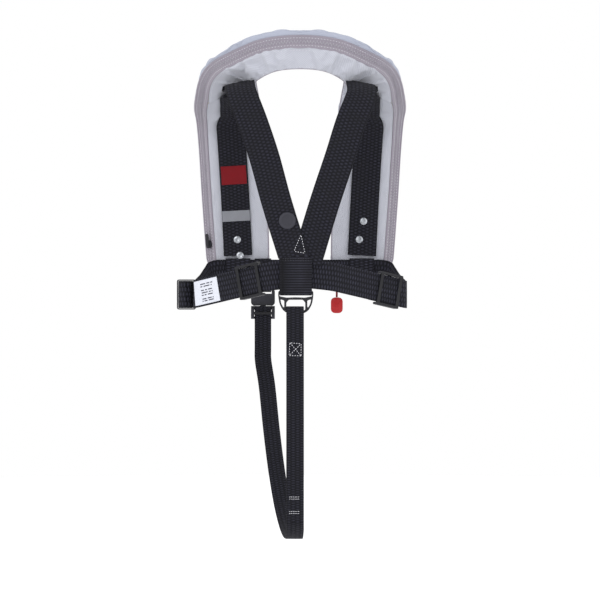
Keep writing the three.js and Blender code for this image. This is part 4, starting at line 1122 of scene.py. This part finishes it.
def roll_and_keeper():
    s = belt_station(-stretch_mark(STRETCH) - ROLL_BEYOND)
    along = s.wide.cross(s.out).normalized()
    centre = s.at(0, ROLL_RADIUS + WEB / 2 + 0.1)
    points = []
    turns, steps = 4.1, 26
    for i in range(int(turns * steps) + 1):
        angle = 2 * math.pi * i / steps
        radius = ROLL_RADIUS + 0.3 - 1.9 * i / steps
        shift = 7.0 * math.tanh(3 * math.cos(angle))
        sideways = math.cos(angle) * radius + shift
        points.append(centre + along * sideways + s.out * (math.sin(angle) * radius))
    stations = crossed(points, s.wide, smooth=False)
    webbing("belt_roll", stations, BELT_WIDTH - 0.2, BELT_WEB, 1.7)
    wide, deep = BELT_WIDTH + 0.7, 2 * ROLL_RADIUS + WEB + 3 * GAP + 0.8
    outline = [(-wide / 2 - 0.8, -deep / 2 - 0.8), (wide / 2 + 0.8, -deep / 2 - 0.8),
               (wide / 2 + 0.8, deep / 2 + 0.8), (-wide / 2 - 0.8, deep / 2 + 0.8)]
    middle = s.at(0, deep / 2 - WEB / 2 - GAP - 0.2)
    keeper = loop_tape("belt_keeper_elastic", outline, middle, s.wide, s.out, along, 12, SLEEVE_ELASTIC,
                       1.5, 1.5)
    stand_for(keeper, ["belt_keeper"])


roll_and_keeper()


def size_label():
    low, high = -stretch_mark(126), -stretch_mark(TAIL_END + 2)

    def layer(s):
        return side_layer(s) + WEB / 2 + GAP + 0.45

    run = belt_run(low, high, layer, 2.0)
    label = tape("size_label_satin", upright(run), BELT_WIDTH - 5, LABEL_CLOTH, 0.8, crown=0.0)
    stand_for(label, ["size_label"])
    bm = bmesh.new()
    rows = ((11.5, (5, 3, 2)), (8.0, (2, 6, 1)), (2.5, (3, 2, 4)), (-1.0, (6, 2, 1)), (-4.5, (2, 2, 5)),
            (-10.0, (4, 4, 1)), (-13.0, (1, 3, 5)))
    for height, bars in rows:
        at = low + 12.0
        for bar in bars:
            s = belt_station(at + bar, layer(abs(at + bar)) + 0.46)
            along = s.wide.cross(s.out).normalized() * -1
            matrix = placed(s.at(height, 0), along * bar * 0.86, s.wide * 0.75, s.out * 0.06)
            bmesh.ops.create_cube(bm, size=2, matrix=matrix)
            at += 2 * bar + 1.0
    bmesh.ops.recalc_face_normals(bm, faces=bm.faces)
    go_with(object_of(bm, "size_label_marks", LABEL_INK, 30), "size_label")


size_label()


# ---- Burst zip ----
def zip_station(s):
    """The middle of the zip's bevel at a station, with its direction across and its outward direction."""
    edge, depth = zip_edge(s)
    length = math.hypot(ZIP_WIDE, depth)
    away = (s.wide * depth - s.out * ZIP_WIDE) / length
    across = (s.wide * ZIP_WIDE + s.out * depth) / length
    middle = s.at(edge - ZIP_WIDE / 2, depth / 2)
    return Station(middle, across, away, mark=s.mark)


ZIP_HALF = math.hypot(ZIP_WIDE, ZIP_DEEP) / 2


def burst_zip():
    run = [zip_station(s) for s in horseshoe_run(0.1, LAST - 0.1, 4.0)]
    outline = [(-ZIP_HALF + 0.3, 0.5), (-ZIP_HALF + 0.3, 1.9), (-4.6, 1.7), (-3.9, 1.1), (3.9, 1.1),
               (4.6, 1.7), (ZIP_HALF - 0.1, 1.9), (ZIP_HALF - 0.1, 0.5), (0, 0.4)]
    tape_piece, _ = swept("zip_tape", [[s.at(a, b) for a, b in outline] for s in run], ZIP_TAPE)
    stand_for(tape_piece, ["burst_zip"])
    for side in (-1, 1):
        bead_outline = circle(1.5, 8, side * (ZIP_HALF - 0.2), 1.2)
        bead, _ = swept(f"zip_piping_{'lower' if side < 0 else 'upper'}",
                        [[s.at(a, b) for a, b in bead_outline] for s in run], ZIP_TAPE)
        go_with(bead, "burst_zip")
    bm = bmesh.new()
    teeth = [zip_station(s) for s in horseshoe_run(0.14, LAST - 0.14, 2.2)]
    for k, s in enumerate(teeth):
        along = s.wide.cross(s.out).normalized()
        side = 1 if k % 2 else -1
        matrix = placed(s.at(side * 0.9, 1.75), s.wide * 2.0, along * 0.8, s.out * 0.62)
        bmesh.ops.create_icosphere(bm, subdivisions=1, radius=1, matrix=matrix)
    go_with(object_of(bm, "zip_coil", COIL, 80), "burst_zip")
    seams = [[(s.at(offset, 1.95), s.out) for s in run] for offset in (-5.6, 5.6)]
    go_with(stitch_mesh("zip_stitches", seams, GREY_THREAD, 3.0, 1.4, 0.36), "burst_zip")


burst_zip()


def lining_seams():
    """Rows of stitches that hold the lining beside the zip and along its inner edge."""
    run = horseshoe_run(0.1, LAST - 0.1, 4.0)
    level = -LINING - LAYER_GAP + 0.1
    outer = [(s.at(zip_edge(s)[0] - ZIP_WIDE - 3.2, level), -s.out) for s in run]
    inner = [(s.at(-s.half + 3.4, level), -s.out) for s in run]
    stitches = stitch_mesh("lining_stitches", [outer, inner], GREY_THREAD, 3.0, 1.4, 0.3)
    go_with(stitches, "collar_lining")
    bead_rows = [[s.at(a, b) for a, b in circle(1.3, 8, -s.half + 0.9, -1.1)] for s in run]
    binding, _ = swept("inner_edge_binding", bead_rows, ZIP_TAPE)
    go_with(binding, "cover")


lining_seams()

# ---- Moulded pieces ----
PLASTIC_NODES = ("adjuster_left", "adjuster_right", "buckle_female", "buckle_male",
                 "buckle_arm_upper", "buckle_arm_lower", "crotch_buckle_female", "crotch_buckle_male",
                 "crotch_buckle_arm_left", "crotch_buckle_arm_right", "inflator_body", "bladder_port",
                 "lever_bracket", "cord_grommet", "oral_tube", "zip_slider", "zip_pull")
for node in PLASTIC_NODES:
    softened(node, BLACK_PLASTIC, 0.45 if "arm" in node or "zip" in node else 0.6)
for node in ("inflator_lever", "sensor_cap", "oral_tube_cap", "whistle"):
    softened(node, RED_PLASTIC, 0.7)
softened("stud_socket", STUD_PLASTIC, 0.4)
softened("whistle_sleeve", SLEEVE_ELASTIC, 0.5)


def rounded(corners, reach):
    """A closed outline with each corner drawn as a short curve that starts reach before it."""
    made = []
    for i, (a, b) in enumerate(corners):
        here = Vector((a, b))
        before = Vector(corners[i - 1]) - here
        after = Vector(corners[(i + 1) % len(corners)]) - here
        start = here + before * min(0.45, reach / before.length)
        end = here + after * min(0.45, reach / after.length)
        made += [start * (1 - t) ** 2 + here * 2 * t * (1 - t) + end * t ** 2
                 for t in (0, 0.25, 0.5, 0.75, 1)]
    return made


def crotch_ring():
    """A moulded frame: slot for the yoke loop, arched crossbar, scalloped eye and two side windows."""
    outside = [(-25, 2), (-25, -6), (-23.2, -17), (-18.5, -26), (-12, -30.5), (12, -30.5), (18.5, -26),
               (23.2, -17), (25, -6), (25, 2)]
    slot = [(-23.1, -2.2), (-23.1, -6.2), (-13, -8.1), (0, -7.6), (13, -8.1), (23.1, -6.2), (23.1, -2.2)]
    eye = [(-13.4, -25.6), (-13.4, -15), (-10, -11.2), (10, -11.2), (13.4, -15), (13.4, -25.6)]
    scallops = [(10, -26.6), (6.6, -25.2), (3.3, -26.9), (0, -25.2), (-3.3, -26.9), (-6.6, -25.2),
                (-10, -26.6)]
    window = [(16.4, -12.2), (21.8, -10.6), (20.6, -16.5), (17.8, -22), (16.4, -21.4)]
    bm = bmesh.new()
    edges = []
    for corners, reach in ((outside, 4.0), (slot, 1.2), (eye + scallops, 1.6), (window, 1.4),
                           ([(-a, b) for a, b in window], 1.4)):
        ring = [bm.verts.new(Vector((YOKE_X + a, RING_Y + RING_THICK / 2, RING_BAR_Z + b)) * MM)
                for a, b in rounded(corners, reach)]
        edges += [bm.edges.new((v, ring[(i + 1) % len(ring)])) for i, v in enumerate(ring)]
    flat = bmesh.ops.triangle_fill(bm, edges=edges, use_beauty=True, normal=FRONT)["geom"]
    faces = of_kind(flat, bmesh.types.BMFace)
    grown = bmesh.ops.extrude_face_region(bm, geom=faces, use_keep_orig=True)["geom"]
    moved = of_kind(grown, bmesh.types.BMVert)
    bmesh.ops.translate(bm, verts=moved, vec=-FRONT * RING_THICK * MM)
    bmesh.ops.recalc_face_normals(bm, faces=bm.faces)
    round_edges(bm, 0.5 * MM, 60, 3)
    stand_for(object_of(bm, "crotch_ring_moulding", BLACK_PLASTIC), ["crotch_ring"])


crotch_ring()


def gas_cylinder():
    low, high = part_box("co2_cylinder")
    foot = Vector(((low.x + high.x) / 2, (low.y + high.y) / 2, low.z)) / MM
    tall = (high.z - low.z) / MM
    r = (high.x - low.x) / 2 / MM
    profile = [(0, 0), (6.2, 0), (6.8, 0.6), (6.8, 8), (8.2, 9), (10.6, 12), (13.4, 15.5), (r - 0.6, 19),
               (r, 22.5), (r, tall - 10), (r - 0.5, tall - 6.5), (r - 2, tall - 3.5), (r - 4.6, tall - 1.4),
               (r - 8, tall - 0.2), (0, tall)]
    cylinder = turned("gas_cylinder_shell", profile, foot, UP, STEEL, 56)
    stand_for(cylinder, ["co2_cylinder"])


gas_cylinder()


def stud():
    low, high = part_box("stud_cap")
    foot = Vector(((low.x + high.x) / 2, high.y, (low.z + high.z) / 2)) / MM
    profile = [(0, 0), (11.7, 0), (12, 0.3), (12, 0.9), (11.5, 1.7), (10.4, 2.35), (9.4, 2.6), (8.4, 2.5),
               (7.9, 2.2), (7.4, 2.15), (4, 2.3), (0, 2.35)]
    stand_for(turned("press_stud_cap", profile, foot, -FRONT, STUD_PLASTIC, 64), ["stud_cap"])


stud()


# ---- Stitching on the webbing ----
def plane_seam(points, out, closed=True):
    points = [Vector(p) for p in points]
    if closed:
        points.append(points[0])
    return [[(a, out), (b, out)] for a, b in zip(points, points[1:])]


def harness_stitches():
    over = OVER_Y - WEB / 2 - 0.18
    triangle = [(1.4, over, -219.4), (-8.5, over, -242.8), (7.1, over, -245.7)]
    seams = plane_seam(triangle, -FRONT)
    y = crotch_box_depth()
    box = [(-14.4, y, -372.5), (1.6, y, -374.2), (1.6, y, -391.2), (-15.4, y, -390.8)]
    seams += plane_seam(box, -FRONT)
    seams += plane_seam([box[0], box[2]], -FRONT, closed=False)
    seams += plane_seam([box[1], box[3]], -FRONT, closed=False)
    go_with(stitch_mesh("white_stitches", seams, WHITE_THREAD, 2.5, 1.1, 0.42), "crotch_strap_back")
    bars = []
    for z in (-592.0, -594.6, -612.5, -615.5):
        s = min(crotch_rear[-30:], key=lambda s: abs(s.point.z - z))
        facing = s.out if s.out.y < 0 else -s.out
        centre = s.point + facing * (WEB / 2 + 0.2)
        bars.append([(centre + RIGHT * -9.5, facing), (centre + RIGHT * 7.0, facing)])
    go_with(stitch_mesh("bar_tacks", bars, WHITE_THREAD, 2.0, 0.5, 0.42), "crotch_strap_back")
    dark = []
    yoke_y = OVER_Y - WEB / 2 - 0.3
    for z in (-253.6, -256.4):
        dark.append([(Vector((-27, yoke_y, z)), -FRONT), (Vector((15, yoke_y, z)), -FRONT)])
    go_with(stitch_mesh("yoke_stitches", dark, DARK_THREAD, 2.6, 1.0, 0.36), "yoke_loop")


def crotch_box_depth():
    s = min(crotch_rear, key=lambda s: abs(s.point.z + 382) + (0 if s.point.y < CROTCH_BACK_Y else 50))
    return s.point.y - WEB / 2 - 0.32


harness_stitches()


def make_stage():
    """A pale floor that fades into the studio's white, with soft light all round."""
    bm = bmesh.new()
    bmesh.ops.create_circle(bm, cap_ends=True, segments=96, radius=2.4)
    bmesh.ops.translate(bm, verts=bm.verts, vec=(0, 0, FLOOR_Z))
    f = Finish("studio_floor", roughness=0.9)
    f.colour(f.blend(f.noise(f.coordinates("Object"), 3, 2), tone(250, 250, 252), tone(254, 254, 255)))
    floor = object_of(bm, "floor", f.material)
    world = bpy.data.worlds.new("studio")
    world.use_nodes = True
    background = world.node_tree.nodes["Background"]
    background.inputs["Color"].default_value = (1.0, 1.0, 1.0, 1)
    background.inputs["Strength"].default_value = 1.0
    bpy.context.scene.world = world
    bpy.context.scene.view_settings.view_transform = "Standard"
    lights = (("key", (-1.6, -2.4, 1.5), 26, 1.6), ("fill", (1.9, -1.8, 0.3), 9, 1.4),
              ("back", (0.4, 2.4, 1.2), 14, 1.6))
    for name, place, power, size in lights:
        data = bpy.data.lights.new(name, "AREA")
        data.energy, data.size = power, size
        lamp = bpy.data.objects.new(name, data)
        lamp.location = place
        aim = Vector((0, 0, -0.25)) - lamp.location
        lamp.rotation_euler = aim.to_track_quat("-Z", "Y").to_euler()
        bpy.context.scene.collection.objects.link(lamp)


make_stage()
